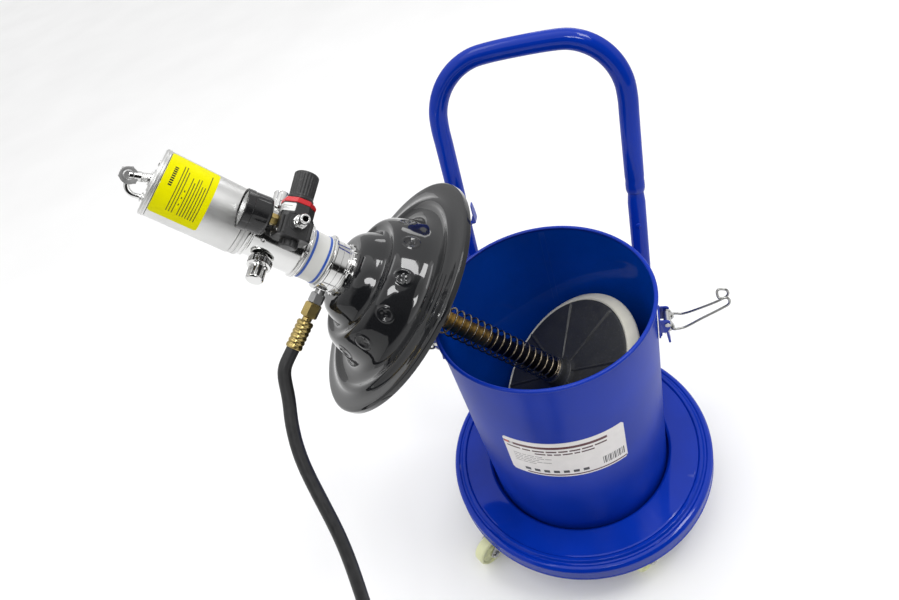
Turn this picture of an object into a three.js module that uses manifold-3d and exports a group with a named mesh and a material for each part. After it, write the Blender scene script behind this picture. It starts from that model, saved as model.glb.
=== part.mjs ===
// Air-operated mobile grease pump, 20 litre drum.
// The pump unit (air motor, lid, suction tube, follower plate) leans out of the open drum,
// pivoted on one pole so that it swings back upright and the lid seats on the rim.
// Millimetres, +Z up, floor at z = 0, push handle towards +Y. The parts are placed from the drum axis;
// ORIGIN then moves them so that the row's origin is below the middle of the whole outline.
import * as THREE from 'three';
import { mergeVertices } from 'three/addons/utils/BufferGeometryUtils.js';
import Module from 'manifold-3d';

const wasm = await Module();
wasm.setup();

// ---------------------------------------------------------------- driving dimensions
const RIM_Z = 428;              // top of the drum rim
const DRUM_R = 134;             // drum wall, outside
const DRUM_T = 1.3;             // drum wall thickness
const DRUM_BOTTOM = 72.3;       // underside of the drum chime
const BEAD_R = 2.6;             // rolled rim
const BASE_R = 199.6;           // caster base, outside
const BASE_TOP = 92;            // flat of the base
const BASE_SKIRT = 66.5;        // lower edge of the base skirt
const RECESS_R = 137.5;         // seat for the drum in the base
const HANDLE_AZ = -24.2;        // turn of the handle about the drum axis, degrees
const HANDLE_HALF = 120.2;      // half spacing of the legs
const HANDLE_BACK = 129.2;      // legs behind the drum axis at the base
const HANDLE_LEAN = 12.6;       // backward lean of the upper handle, degrees
const HANDLE_BEND_Z = RIM_Z - 150;
const HANDLE_JOIN_Z = RIM_Z + 18;
const HANDLE_TOP_Z = RIM_Z + 219.6;
const HANDLE_CORNER = 79.5;
const BOW_D = 24.6;
const LEG_D = 23.0;
const LEAN_AXIS = new THREE.Vector3(-0.184258, -0.98227, -0.03457);
const LEAN_DEG = 37.685;
const LEAN_POLE = new THREE.Vector3(-182.2834, 41.4321, RIM_Z - 205.6794);
const LID_SEAT = 3.8;           // lid plane above the rim when it is closed
const LID_R = 144.3;
const CAP_TOP = 276;            // end face of the air motor
const EYE_AZ = 28.4;            // plane of the lifting eye, degrees about the pump axis
const TUBE_R = 11.3;            // suction tube, outside
const MOTOR_R = 34.4;
const HEAD_R = 28.8;            // chrome valve cylinder
const REG_AZ = 316;             // regulator side of the pump, degrees about the pump axis
const REG_TILT = 6;
const HUB_TOP = -262;           // top of the follower hub below the lid plane
const LIP_R = 126;
const CASTER_PCR = 165;         // caster pivots from the drum axis
const CASTER_AZ = [20.8, 110.8, 200.8, 290.8];
const TRAIL = 36, TRAIL_AZ = 205.5;
const WHEEL_R = 25, WHEEL_W = 19;
const LATCH_AZ = { right: -24.6, left: 159.5 };
const LATCH_R = 150, LATCH_Z = RIM_Z - 55;
const HOSE_D = 15;
const COIL_C = [-222, -338], COIL_MID = 90;
const ORIGIN = [78.05, -21.06, 0];

// ---------------------------------------------------------------- solids
const V2 = (x, y) => new THREE.Vector2(x, y);
const V3 = (x, y, z) => new THREE.Vector3(x, y, z);
const rad = THREE.MathUtils.degToRad;

function clean(geo) {
  let g = geo.clone();
  for (const k of Object.keys(g.attributes)) if (k !== 'position') g.deleteAttribute(k);
  g = mergeVertices(g, 1e-3);
  const p = g.attributes.position, ix = g.index.array, keep = [];
  let vol = 0;
  const a = V3(), b = V3(), c = V3();
  for (let i = 0; i < ix.length; i += 3) {
    const [u, v, w] = [ix[i], ix[i + 1], ix[i + 2]];
    if (u === v || v === w || u === w) continue;
    keep.push(u, v, w);
    a.fromBufferAttribute(p, u); b.fromBufferAttribute(p, v); c.fromBufferAttribute(p, w);
    vol += a.dot(b.cross(c)) / 6;
  }
  if (vol < 0) for (let i = 0; i < keep.length; i += 3) [keep[i + 1], keep[i + 2]] = [keep[i + 2], keep[i + 1]];
  g.setIndex(keep);
  return g;
}
function man(geo) {
  const g = clean(geo);
  return new wasm.Manifold(new wasm.Mesh({
    numProp: 3,
    vertProperties: new Float32Array(g.attributes.position.array),
    triVerts: new Uint32Array(g.index.array),
  }));
}
function geoOf(m) {
  const r = m.getMesh();
  const g = new THREE.BufferGeometry();
  g.setAttribute('position', new THREE.BufferAttribute(new Float32Array(r.vertProperties), 3));
  g.setIndex(new THREE.BufferAttribute(new Uint32Array(r.triVerts), 1));
  return g;
}
const join = (...gs) => geoOf(gs.map(man).reduce((x, y) => x.add(y)));
const cut = (g, ...hs) => geoOf(hs.map(man).reduce((x, y) => x.subtract(y), man(g)));

// profile of [radius, height] turned about +Z
function turn(pts, seg = 36) {
  const onAxis = pts[0][0] === 0;
  const q = pts.map(([r, z]) => V2(r, z));
  if (!onAxis) q.push(q[0].clone());
  const g = new THREE.LatheGeometry(q, seg);
  g.rotateX(Math.PI / 2);
  return g;
}
function cyl(r, z0, z1, seg = 20, r2 = r) {
  const g = new THREE.CylinderGeometry(r2, r, z1 - z0, seg);
  g.rotateX(Math.PI / 2);
  g.translate(0, 0, (z0 + z1) / 2);
  return g;
}
function ringOf(r0, r1, z0, z1, seg = 28) { return turn([[r0, z0], [r1, z0], [r1, z1], [r0, z1]], seg); }
function block(x0, x1, y0, y1, z0, z1) {
  const g = new THREE.BoxGeometry(x1 - x0, y1 - y0, z1 - z0);
  g.translate((x0 + x1) / 2, (y0 + y1) / 2, (z0 + z1) / 2);
  return g;
}
function hexOf(af, z0, z1, bore = 0) {
  const g = cyl(af / Math.sqrt(3), z0, z1, 6);
  return bore ? cut(g, cyl(bore, z0 - 1, z1 + 1, 16)) : g;
}
// round bar along a curve, closed at both ends
function bar(curve, r, steps, sides = 10) {
  const s = new THREE.Shape();
  for (let i = 0; i <= sides; i++) {
    const a = (i / sides) * Math.PI * 2;
    if (i === 0) s.moveTo(r, 0); else s.lineTo(r * Math.cos(a), r * Math.sin(a));
  }
  return new THREE.ExtrudeGeometry(s, { steps, extrudePath: curve, bevelEnabled: false });
}
const spline = (pts) => new THREE.CatmullRomCurve3(pts.map((p) => V3(...p)), false, 'centripetal');
function plate(outline, z0, z1) {
  const s = new THREE.Shape(outline.map(([x, y]) => V2(x, y)));
  const g = new THREE.ExtrudeGeometry(s, { depth: z1 - z0, bevelEnabled: false });
  g.translate(0, 0, z0);
  return g;
}

// ---------------------------------------------------------------- scene helpers
const mats = {
  blue: [0x1420b4, 0.28, 0.1], black: [0x16171a, 0.22, 0.1], chrome: [0xc9cbcd, 0.12, 1], alu: [0xd7d8d6, 0.42, 0.85],
  brass: [0xb5933f, 0.3, 0.9], zinc: [0xb9893a, 0.34, 0.8], steel: [0x9da0a3, 0.35, 0.9], rubber: [0x202124, 0.75, 0],
  white: [0xdad8d2, 0.45, 0], red: [0xc11620, 0.4, 0], plastic: [0x1a1a1c, 0.5, 0], cream: [0xe6e6b4, 0.5, 0], dark: [0x2a2b2d, 0.4, 0.6],
  glass: [0xdfe6ea, 0.05, 0],
};
const root = new THREE.Group();
root.position.set(...ORIGIN);                // row origin: floor, middle of the outline without the hose
function put(name, geo, mat, parent = root) {
  const [color, roughness, metalness] = mats[mat];
  const m = new THREE.Mesh(clean(geo), new THREE.MeshStandardMaterial({ color, roughness, metalness }));
  m.name = name;
  parent.add(m);
  return m;
}

// ================================================================ base and drum
put('base_pan', turn([
  [0, 72], [134.5, 72], [RECESS_R, 75], [RECESS_R, 89], [141, BASE_TOP], [178.5, BASE_TOP], [181.5, 94.4],
  [186.5, 94.4], [190, 92.3], [195.5, 90.6], [BASE_R, 84], [BASE_R, BASE_SKIRT],
  [197.6, BASE_SKIRT], [197.6, 83.4], [192.6, 89.8], [141.5, 90],
  [139.5, 88], [139.5, 74], [135.4, 70], [0, 70],
], 32), 'blue');

const zb = RIM_Z - BEAD_R, rb = 134.4;
const bead = [];
for (let i = 0; i <= 6; i++) {
  const a = rad(-100 + i * 40);
  bead.push([rb + BEAD_R * Math.cos(a), zb + BEAD_R * Math.sin(a)]);
}
put('drum', turn([
  [0, 75.3], [130.4, 75.3], [131, DRUM_BOTTOM], [DRUM_R, DRUM_BOTTOM], [DRUM_R, zb - 3], ...bead.slice(1, 6),
  [DRUM_R - DRUM_T, RIM_Z - 2], [DRUM_R - DRUM_T, 76.8], [0, 76.8],
], 32), 'blue');

// ================================================================ push handle
const handle = new THREE.Group();
handle.rotation.z = rad(HANDLE_AZ);
root.add(handle);
const tanL = Math.tan(rad(HANDLE_LEAN));
const backAt = (z) => HANDLE_BACK + Math.max(0, z - HANDLE_BEND_Z) * tanL;
for (const [side, s] of [['left', -1], ['right', 1]]) {
  const pts = [];
  for (const z of [94.9, 150, 210, 250, 268, 278, 288, 306, 350, 400, HANDLE_JOIN_Z - 0.5]) {
    const soft = Math.abs(z - HANDLE_BEND_Z) < 25 ? 1.2 * (1 - Math.abs(z - HANDLE_BEND_Z) / 25) : 0;
    pts.push([s * HANDLE_HALF, backAt(z) + soft, z]);
  }
  put(`handle_leg_${side}`, bar(spline(pts), LEG_D / 2, 10, 8), 'blue', handle);
}
{
  const pts = [];
  const zc = HANDLE_TOP_Z - HANDLE_CORNER;
  for (const z of [HANDLE_JOIN_Z, HANDLE_JOIN_Z + 45, zc - 24]) pts.push([-HANDLE_HALF, backAt(z), z]);
  for (let i = 0; i <= 6; i++) {
    const a = rad(i * 15), z = zc + HANDLE_CORNER * Math.sin(a);
    pts.push([-(HANDLE_HALF - HANDLE_CORNER + HANDLE_CORNER * Math.cos(a)), backAt(z), z]);
  }
  const mirror = pts.map(([x, y, z]) => [-x, y, z]).reverse();
  put('handle_bow', bar(spline([...pts, ...mirror]), BOW_D / 2, 28, 8), 'blue', handle);
}
// strap hook for the hose and gun, on the inner side of the left leg
{
  const z = RIM_Z + 3, y = backAt(z), x = -HANDLE_HALF + BOW_D / 2 + 0.4;
  const g = join(block(x, x + 7.4, y - 8, y + 8, z, z + 2.6), block(x + 5.6, x + 7.4, y - 8, y + 8, z + 1, z + 30));
  put('gun_holder', g, 'blue', handle);
}

// ================================================================ casters
CASTER_AZ.forEach((az, i) => {
  const g = new THREE.Group();
  g.position.set(CASTER_PCR * Math.cos(rad(az)), CASTER_PCR * Math.sin(rad(az)), 0);
  g.rotation.z = rad(TRAIL_AZ);              // local +X is the trailing direction
  root.add(g);
  const cheek = [[-15, 62], [15, 62], [TRAIL + 8, WHEEL_R + 6], [TRAIL + 6, WHEEL_R - 8], [TRAIL - 7, WHEEL_R - 8], [-13, 50]];
  const side = (y0) => { const p = plate(cheek, 0, 2.2); p.rotateX(Math.PI / 2); p.translate(0, y0 + 2.2, 0); return p; };
  const fork = join(block(-17, 17, -14.4, 14.4, 60, 63), cyl(17, 63, 68.5, 12), cyl(8, 68, 89.3, 10), cyl(21, 86.4, 89.3, 12),
    side(11.9), side(-14.1), (() => { const a = cyl(4, -14.4, 14.4, 8); a.rotateX(Math.PI / 2); a.translate(TRAIL, 0, WHEEL_R); return a; })());
  put(`caster_fork_${i + 1}`, fork, 'steel', g);
  const w = turn([[4.4, -9.5], [10, -9.5], [12, -6], [20, -6], [22, -9], [WHEEL_R, -7], [WHEEL_R, 7], [22, 9], [20, 6], [12, 6], [10, 9.5], [4.4, 9.5]], 14);
  w.rotateX(Math.PI / 2);
  const m = put(`caster_wheel_${i + 1}`, w, 'cream', g);
  m.position.set(TRAIL, 0, WHEEL_R);
});

// ================================================================ latches
for (const [side, az] of Object.entries(LATCH_AZ)) {
  const g = new THREE.Group();               // local +X points out of the drum, Y along the rim
  g.rotation.z = rad(az);
  root.add(g);
  const X = LATCH_R, Z = LATCH_Z;
  // pressed bracket with two ears
  const ear = (y) => block(136.4, 148.2, y - 1, y + 1, Z - 6, Z + 15);
  const hole = (() => { const a = cyl(2.5, -20, 20, 8); a.rotateX(Math.PI / 2); a.translate(145, 0, Z + 8); return a; })();
  let br = join(block(134.6, 137.2, -13, 13, Z - 24, Z + 18), ear(-11.2), ear(11.2));
  put(`latch_bracket_${side}`, cut(br, hole), 'blue', g);
  // toggle lever with its pin and tail
  const pin = (() => { const a = cyl(2.0, -12.6, 12.6, 8); a.rotateX(Math.PI / 2); a.translate(145, 0, Z + 8); return a; })();
  const lev = join(pin, block(141, 149, -9.2, 9.2, Z + 3, Z + 13), block(141, 146.4, -9.2, 9.2, Z - 12, Z + 4),
    block(146, 154, -9.2, -7.2, Z - 5, Z + 8), block(146, 154, 7.2, 9.2, Z - 5, Z + 8),
    (() => { const b = block(-1.4, 1.4, -4.5, 4.5, -24, 2); b.rotateY(rad(-8)); b.translate(143.8, 0, Z - 11); return b; })());
  const eye = (() => { const a = cyl(1.9, -20, 20, 8); a.rotateX(Math.PI / 2); a.translate(X, 0, Z); return a; })();
  put(`latch_lever_${side}`, cut(lev, eye), 'steel', g);
  // wire bail: legs pass through the lever cheeks, far end curled back into a hook
  const prof = [[0, 0], [13, 0.5], [35, 13], [56, 26.5], [61.5, 31.5], [62.6, 37], [58.5, 42.2], [51.5, 42.4]];
  // the two ends of the wire turn inwards through the lever cheeks
  const legA = [[X, -5.4, Z], [X, -9.6, Z], [X + 0.6, -11.6, Z], [X + 2.4, -12.4, Z + 0.1], [X + 7, -12, Z + 0.3]];
  const run = prof.slice(1).map(([px, pz], k) => [X + px, k === 0 ? -11 : k === 1 ? -8 : -6.5, Z + pz]);
  const chainA = [...legA, ...run];
  const chainB = chainA.map(([a, b, c]) => [a, -b, c]).reverse();
  put(`latch_bail_${side}`, bar(spline([...chainA, ...chainB]), 1.3, 30, 5), 'chrome', g);
}

// ================================================================ pump unit
const tilt = new THREE.Quaternion().setFromAxisAngle(LEAN_AXIS.clone().normalize(), rad(LEAN_DEG));
const seat = V3(0, 0, RIM_Z + LID_SEAT);
const pump = new THREE.Group();              // local frame: closed pose, origin at the middle of the lid plane
pump.quaternion.copy(tilt);
pump.position.copy(seat.clone().sub(LEAN_POLE).applyQuaternion(tilt).add(LEAN_POLE));
root.add(pump);

put('lid', turn([
  [27.4, 63.4], [40, 63.2], [50, 57.2], [57, 43], [61, 38.8], [72.5, 41], [80, 34.6], [97, 1.2],
  [110, 0.6], [118.5, 3.4], [128, 0.3], [142.4, 0], [LID_R, -2.2], [LID_R, -7.4],
  [142.8, -7.4], [142.8, -2.0], [127, -1.4], [118.5, 1.6], [110, -1.0], [96, -0.6],
  [78, 33.6], [72, 39.1], [60.4, 37], [49, 55.6], [39, 61.6], [27.4, 61.8],
], 32), 'black', pump);
put('lid_gasket', ringOf(130.5, 140.6, -3.4, -2.3, 28), 'rubber', pump);
put('neck_nut', cut(join(cyl(26.6, 60.4, 76, 20), cyl(31.5, 64.2, 68.4, 20)), cyl(14.2, 50, 80, 14)), 'chrome', pump);
put('pump_collar', cut(join(cyl(29, 76.3, 88.2, 22), cyl(32.2, 84.4, 88.2, 22)), cyl(8, 60, 100, 12)), 'chrome', pump);
put('outlet_body', cut(cyl(28, 88.5, 112.4, 22), cyl(8, 80, 120, 12)), 'white', pump);
put('valve_cylinder', cut(join(cyl(31.4, 112.7, 117.5, 24), cyl(HEAD_R, 117, 171, 24), cyl(31.4, 170.4, 176, 24)),
  cyl(24.6, 118.5, 177, 18), cyl(6.2, 110, 120, 12)), 'chrome', pump);
put('motor_base', cut(join(cyl(33.6, 176.3, 184.7, 24), cyl(31, 184, 188, 24)), cyl(5.6, 170, 190, 12)), 'alu', pump);
put('motor_cylinder', ringOf(31.5, MOTOR_R, 185, 268.5, 28), 'alu', pump);
put('motor_cap', join(cyl(MOTOR_R + 0.6, 268.8, 273.5, 28), cyl(MOTOR_R - 1, 273.3, CAP_TOP, 28)), 'alu', pump);
// lifting eye: a thick stud, a cross nut at its end and a bent rod back to the cap
{
  const g = new THREE.Group();
  g.rotation.z = rad(EYE_AZ);                // local X and Z hold the loop
  pump.add(g);
  const stud = cyl(5.2, 0, 18, 16);
  stud.rotateY(rad(-18));
  stud.translate(1.0, 0, CAP_TOP + 1.2);
  const nut = hexOf(16.5, -4.5, 4.5);
  nut.rotateX(Math.PI / 2);
  nut.translate(-4.8, 0, 294.2);
  const rod = bar(spline([[-19, 0, CAP_TOP + 0.3], [-19.8, 0, 280], [-20.2, 0, 285], [-17.6, 0, 290.4], [-12.6, 0, 293.2], [-6, 0, 294]]), 2.7, 14, 8);
  put('lifting_eye', cut(join(stud, nut, rod), block(-40, 40, -40, 40, CAP_TOP - 20, CAP_TOP + 0.3)), 'chrome', g);
}
// suction tube, upper and lower section, and the foot valve
put('pump_tube', cut(cyl(TUBE_R, -148, 75.6, 18), cyl(8.9, -150, 80, 14)), 'zinc', pump);
put('lower_tube', cut(cyl(TUBE_R, -326, -148.3, 18), cyl(8.9, -330, -140, 14)), 'dark', pump);
put('foot_valve', cut(join(cyl(13.4, -344, -326.3, 16), cyl(8.6, -326.4, -318, 12)), cyl(5, -338, -310, 8), block(-20, 20, -3, 3, -342, -334), block(-3, 3, -20, 20, -342, -334)), 'steel', pump);
// spring between the lid and the follower hub
{
  const z0 = -10, z1 = HUB_TOP + 1.6, n = 20, pts = [];
  for (let i = 0; i <= n * 5; i++) {
    const t = i / (n * 5), a = t * n * Math.PI * 2;
    pts.push([16.6 * Math.cos(a), 16.6 * Math.sin(a), z0 + (z1 - z0) * t]);
  }
  put('follower_spring', bar(spline(pts), 0.95, n * 5, 3), 'dark', pump);
}
// follower plate: hub, ribbed disc, and its white wiper lip
{
  const disc = turn([[11.9, HUB_TOP], [19.5, HUB_TOP], [20.5, -272], [26, -277], [108, -280], [111, -280.6], [111, -284], [26, -284], [22, -291], [11.9, -291]], 28);
  const ribs = [];
  for (let i = 0; i < 8; i++) {
    const b = block(18, 107, -1.1, 1.1, -282, -278.0);
    b.rotateZ(rad(i * 45 + 10));
    ribs.push(b);
  }
  put('follower_plate', join(disc, ...ribs), 'rubber', pump);
  put('follower_lip', turn([[111.3, -280.8], [113.5, -280.6], [LIP_R, -289.5], [LIP_R, -292], [LIP_R - 2.6, -292], [111.3, -284.4]], 28), 'white', pump);
}
// air piston, pump rod and plunger
put('air_piston', join(cyl(31, 200, 210, 28), cyl(12, 209, 214, 16)), 'alu', pump);
put('pump_rod', cyl(5, -290, 199.7, 12), 'steel', pump);
put('pump_plunger', cyl(8.5, -304, -290.3, 16), 'steel', pump);
// exhaust silencers, one on each side
for (const [k, az] of [['front', 243], ['rear', 63]]) {
  const g = new THREE.Group();
  g.rotation.z = rad(az);
  g.position.z = 152;
  pump.add(g);
  const sil = join(hexOf(14, HEAD_R - 3, HEAD_R + 3), cyl(12.6, 31.5, 41, 16), cyl(9.2, 40.8, 58, 16));
  sil.rotateY(Math.PI / 2);
  const m = put(`silencer_${k}`, cut(sil, (() => { const c = cyl(29.2, -60, 60, 28); return c; })()), 'chrome', g);
}
// outlet: steel adaptor, brass swivel nut, crimped ferrule; the hose starts here
{
  const g = new THREE.Group();
  g.rotation.z = rad(210);
  g.position.z = 76;
  pump.add(g);
  const lay = (geo) => { geo.rotateY(Math.PI / 2); return geo; };
  put('outlet_adaptor', cut(join(lay(cyl(5.6, 26, 35, 14)), lay(hexOf(15, 34, 46.2))), (() => { const c = cyl(32.5, 8.3, 12.4, 28); return c; })(), cyl(29.3, -20, 20, 28)), 'steel', g);
  put('hose_nut', lay(join(hexOf(17, 46.5, 63), cyl(5.4, 62.5, 67.6, 14))), 'brass', g);
  put('hose_ferrule', lay(cyl(9.4, 67.9, 101, 18)), 'brass', g);
}
// regulator: local +X radial, +Y towards the knob, +Z along the pump axis
const reg = new THREE.Group();
reg.rotation.z = rad(REG_AZ);
pump.add(reg);
const rg = new THREE.Group();
rg.position.set(55, 2, 144);
rg.rotation.x = rad(REG_TILT);
reg.add(rg);
const along = (geo) => { geo.rotateX(-Math.PI / 2); return geo; };   // +Z of the solid to +Y
put('regulator_body', join(block(-16, 16, -15, 14, -16.5, 16.5), along(cyl(16, 13.5, 20, 20)), along(cyl(9.5, -23, -14.5, 16))), 'plastic', rg);
put('regulator_ring', along(cyl(17.6, 20.3, 26, 8)), 'red', rg);
put('regulator_knob', along(join(cyl(12.6, 26.3, 52, 20), cyl(11, 51.5, 57, 20))), 'plastic', rg);
{
  const s = cyl(5.5, -26.6, -16.3, 14);
  s.rotateY(Math.PI / 2);
  const stub = cut(s, (() => { const c = cyl(HEAD_R + 0.3, -40, 40, 28); c.rotateX(rad(-REG_TILT)); c.translate(-55, -2, 0); return c; })());
  put('regulator_nipple', stub, 'chrome', rg);
}
{
  const nip = join(hexOf(13, 16.3, 23), cyl(4.6, 22.5, 27, 12), cyl(5.2, 26.5, 30, 12), cyl(4.6, 29.5, 37, 12));
  nip.rotateY(Math.PI / 2);
  put('inlet_nipple', cut(nip, (() => { const c = cyl(2.7, 20, 40, 8); c.rotateY(Math.PI / 2); return c; })()), 'chrome', rg);
}
// gauge case with its threaded stem in one piece
put('gauge_case', join(hexOf(10, 16.8, 24.2), cyl(4, 23.9, 26.5, 10), cut(cyl(20, 25.7, 52.5, 24), cyl(18.2, 46, 54, 24))), 'plastic', rg);
put('gauge_dial', cut(cyl(17.6, 46.3, 47.3, 24), cyl(1.3, 40, 50, 8)), 'white', rg);
put('gauge_needle', join(block(-1, 1, -4, 13, 48.3, 49), cyl(2.2, 48.3, 49.6, 12), cyl(0.9, 46.6, 48.6, 8)), 'dark', rg);
put('gauge_lens', cyl(17.6, 50.4, 51.6, 24), 'glass', rg);

// ================================================================ hose
const leaned = (x, y, z) => V3(x, y, z).applyQuaternion(tilt).add(pump.position);
{
  const az = rad(210);
  const P = (r) => { const v = leaned(r * Math.cos(az), r * Math.sin(az), 76); return [v.x, v.y, v.z]; };
  const zr = (x, y, z) => [x, y, z + RIM_Z];
  const [cx, cy] = COIL_C, ro = COIL_MID + HOSE_D + 0.6;
  const route = [P(101.3), P(112), P(126), zr(-308.5, -47.5, 50), zr(-315.5, -66, 31), zr(-319.2, -82, 13.5), zr(-320, -99, -4.2),
    zr(-318.2, -116.5, -23), zr(-315.5, -134.5, -42), zr(-313, -152.5, -61.5), zr(-312, -170.5, -81), zr(-312.5, -188, -99.5), zr(-314, -204.5, -118),
    zr(-317, -226, -145), zr(-321, -249, -180), zr(-325, -270, -220), zr(-328, -288, -262), zr(-330, -303, -305), zr(-330, -322, -365), zr(-329.4, -338, -381), zr(-328.4, -350, -391.2)];
  put('hose_run', bar(spline(route), HOSE_D / 2, 34, 8), 'rubber');
  put('hose_coil', turn([[cx * 0 + COIL_MID - HOSE_D * 1.5 - 0.6, 0.05], [COIL_MID + HOSE_D * 1.5 + 0.9, 0.05], [COIL_MID + HOSE_D * 1.5 + 0.9, 31], [COIL_MID - HOSE_D * 1.5 - 0.6, 31]], 32), 'rubber')
    .position.set(cx, cy, 0);
  // last stretch: leaves the outer turn and runs straight into the grease gun
  const yT = cy - ro, xT = cx + 57.6;
  put('hose_tail', bar(spline([[xT, yT, 7.7], [xT + 14, yT, 8.9], [xT + 30, yT, 13], [xT + 40, yT, 13.7], [xT + 46, yT, 13.7]]), HOSE_D / 2, 8, 8), 'rubber');
  const gun = new THREE.Group();             // lies on its side: local +X along the grip
  gun.position.set(xT + 46.6, yT, 13.7);
  root.add(gun);
  const ax = (geo) => { geo.rotateY(Math.PI / 2); return geo; };
  put('gun_ferrule', ax(join(cyl(9.2, 0, 22, 18), hexOf(17, 21.5, 31))), 'brass', gun);
  const grip = join(ax(cyl(10.5, 31.4, 44, 18)), ax(cyl(9.6, 43, 108, 18)), ax(cyl(13.2, 106, 134, 20)), block(112, 130, -21, -10, -5, 5));
  put('gun_body', cut(grip, cyl(2.7, -8, 8, 12).translate(121, -17, 0)), 'alu', gun);
  const lever = join(block(40, 128, -31, -28, -7.5, 7.5), block(112, 128, -31, -13.5, 5.5, 7.5), block(112, 128, -31, -13.5, -7.5, -5.5),
    cyl(2.4, -7.5, 7.5, 12).translate(121, -17, 0));
  put('gun_trigger', lever, 'black', gun);
  const spout = join(bar(spline([[134.4, 0, 0], [150, 1, 0], [168, 7, 0], [186, 18, 0], [202, 30, 0]]), 4.4, 8, 8),
    (() => { const c = cyl(7.6, 0, 26, 16); c.rotateY(Math.PI / 2); c.rotateZ(rad(37)); c.translate(200, 28.6, 0); return c; })());
  put('gun_spout', spout, 'chrome', gun);
}

export default root;
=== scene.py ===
# Looks of the mobile grease pump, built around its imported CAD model.
# Shapes are built in millimetres, in the drum frame (floor z = 0, drum axis on Z), and moved by ORIGIN.
import math

import bmesh
import bpy
import numpy as np
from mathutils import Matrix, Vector

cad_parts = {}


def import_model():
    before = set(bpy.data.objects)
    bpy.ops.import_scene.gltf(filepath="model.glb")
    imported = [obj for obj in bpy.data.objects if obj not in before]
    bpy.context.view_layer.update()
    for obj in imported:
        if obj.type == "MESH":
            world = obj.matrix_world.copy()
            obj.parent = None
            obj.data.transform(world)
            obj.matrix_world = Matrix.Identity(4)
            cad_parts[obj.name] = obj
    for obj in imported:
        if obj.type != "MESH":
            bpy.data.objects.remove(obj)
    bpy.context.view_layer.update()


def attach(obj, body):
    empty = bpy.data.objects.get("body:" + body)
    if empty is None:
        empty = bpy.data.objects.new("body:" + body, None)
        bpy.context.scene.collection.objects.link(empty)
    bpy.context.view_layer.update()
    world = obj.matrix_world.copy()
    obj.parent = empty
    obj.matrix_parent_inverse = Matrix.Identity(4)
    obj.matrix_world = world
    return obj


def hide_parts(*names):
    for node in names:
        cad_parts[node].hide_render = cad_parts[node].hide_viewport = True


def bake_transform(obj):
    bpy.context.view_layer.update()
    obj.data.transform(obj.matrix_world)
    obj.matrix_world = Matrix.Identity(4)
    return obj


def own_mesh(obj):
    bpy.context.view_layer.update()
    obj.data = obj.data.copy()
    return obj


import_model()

ORIGIN = np.array([78.05, -21.06, 0.0])
RIM_Z = 428.0
rad = math.radians


# ------------------------------------------------------------------ transforms
def rz(d):
    c, s = math.cos(rad(d)), math.sin(rad(d))
    m = np.eye(4)
    m[:2, :2] = [[c, -s], [s, c]]
    return m


def rx(d):
    c, s = math.cos(rad(d)), math.sin(rad(d))
    m = np.eye(4)
    m[1:3, 1:3] = [[c, -s], [s, c]]
    return m


def ry(d):
    c, s = math.cos(rad(d)), math.sin(rad(d))
    m = np.eye(4)
    m[0, 0], m[0, 2], m[2, 0], m[2, 2] = c, s, -s, c
    return m


def tr(x, y, z):
    m = np.eye(4)
    m[:3, 3] = [x, y, z]
    return m


AX_X = ry(90)          # +Z of the solid to +X
AX_Y = rx(-90)         # +Z of the solid to +Y

_a = np.array([-0.184258, -0.98227, -0.03457])
_a /= np.linalg.norm(_a)
_t = rad(37.685)
_k = np.array([[0, -_a[2], _a[1]], [_a[2], 0, -_a[0]], [-_a[1], _a[0], 0]])
_R = np.eye(3) + math.sin(_t) * _k + (1 - math.cos(_t)) * _k @ _k
_P = np.array([-182.2834, 41.4321, RIM_Z - 205.6794])
PUMP = np.eye(4)
PUMP[:3, :3] = _R
PUMP[:3, 3] = _R @ (np.array([0, 0, RIM_Z + 3.8]) - _P) + _P
REG = PUMP @ rz(316) @ tr(55, 2, 144) @ rx(6)
HANDLE = rz(-24.2)


def world(p, m=None):
    p = np.array(p, float)
    if m is not None:
        p = m[:3, :3] @ p + m[:3, 3]
    return tuple((p + ORIGIN) / 1000)


# ------------------------------------------------------------------ mesh makers: each gives (vertices, faces)
def xf(g, m):
    v, f = g
    v = np.asarray(v, float) @ m[:3, :3].T + m[:3, 3]
    if np.linalg.det(m[:3, :3]) < 0:
        f = [tuple(reversed(q)) for q in f]
    return v, f


def merge(gs):
    vs, fs, n = [], [], 0
    for v, f in gs:
        vs.append(np.asarray(v, float))
        fs += [tuple(i + n for i in q) for q in f]
        n += len(v)
    return np.concatenate(vs), fs


def soften(pts, r, n=3, closed=False):
    """Rounds the corners of a polyline. A point is (x, y) or (x, y, its own radius)."""
    out, m = [], len(pts)
    for i, p in enumerate(pts):
        own = p[2] if len(p) > 2 else r
        if (not closed and i in (0, m - 1)) or own <= 0:
            out.append((p[0], p[1]))
            continue
        a = np.array(pts[(i - 1) % m][:2], float)
        b = np.array(p[:2], float)
        c = np.array(pts[(i + 1) % m][:2], float)
        u, w = a - b, c - b
        lu, lw = np.linalg.norm(u), np.linalg.norm(w)
        if lu < 1e-9 or lw < 1e-9:
            out.append(tuple(b))
            continue
        u, w = u / lu, w / lw
        ang = math.acos(max(-1, min(1, u @ w)))
        if ang > math.pi - 0.05:
            out.append(tuple(b))
            continue
        d = min(own / math.tan(ang / 2), 0.45 * lu, 0.45 * lw)
        s, e = b + u * d, b + w * d
        for k in range(n + 1):
            t = k / n
            out.append(tuple((1 - t) ** 2 * s + 2 * t * (1 - t) * b + t * t * e))
    return out


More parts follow.
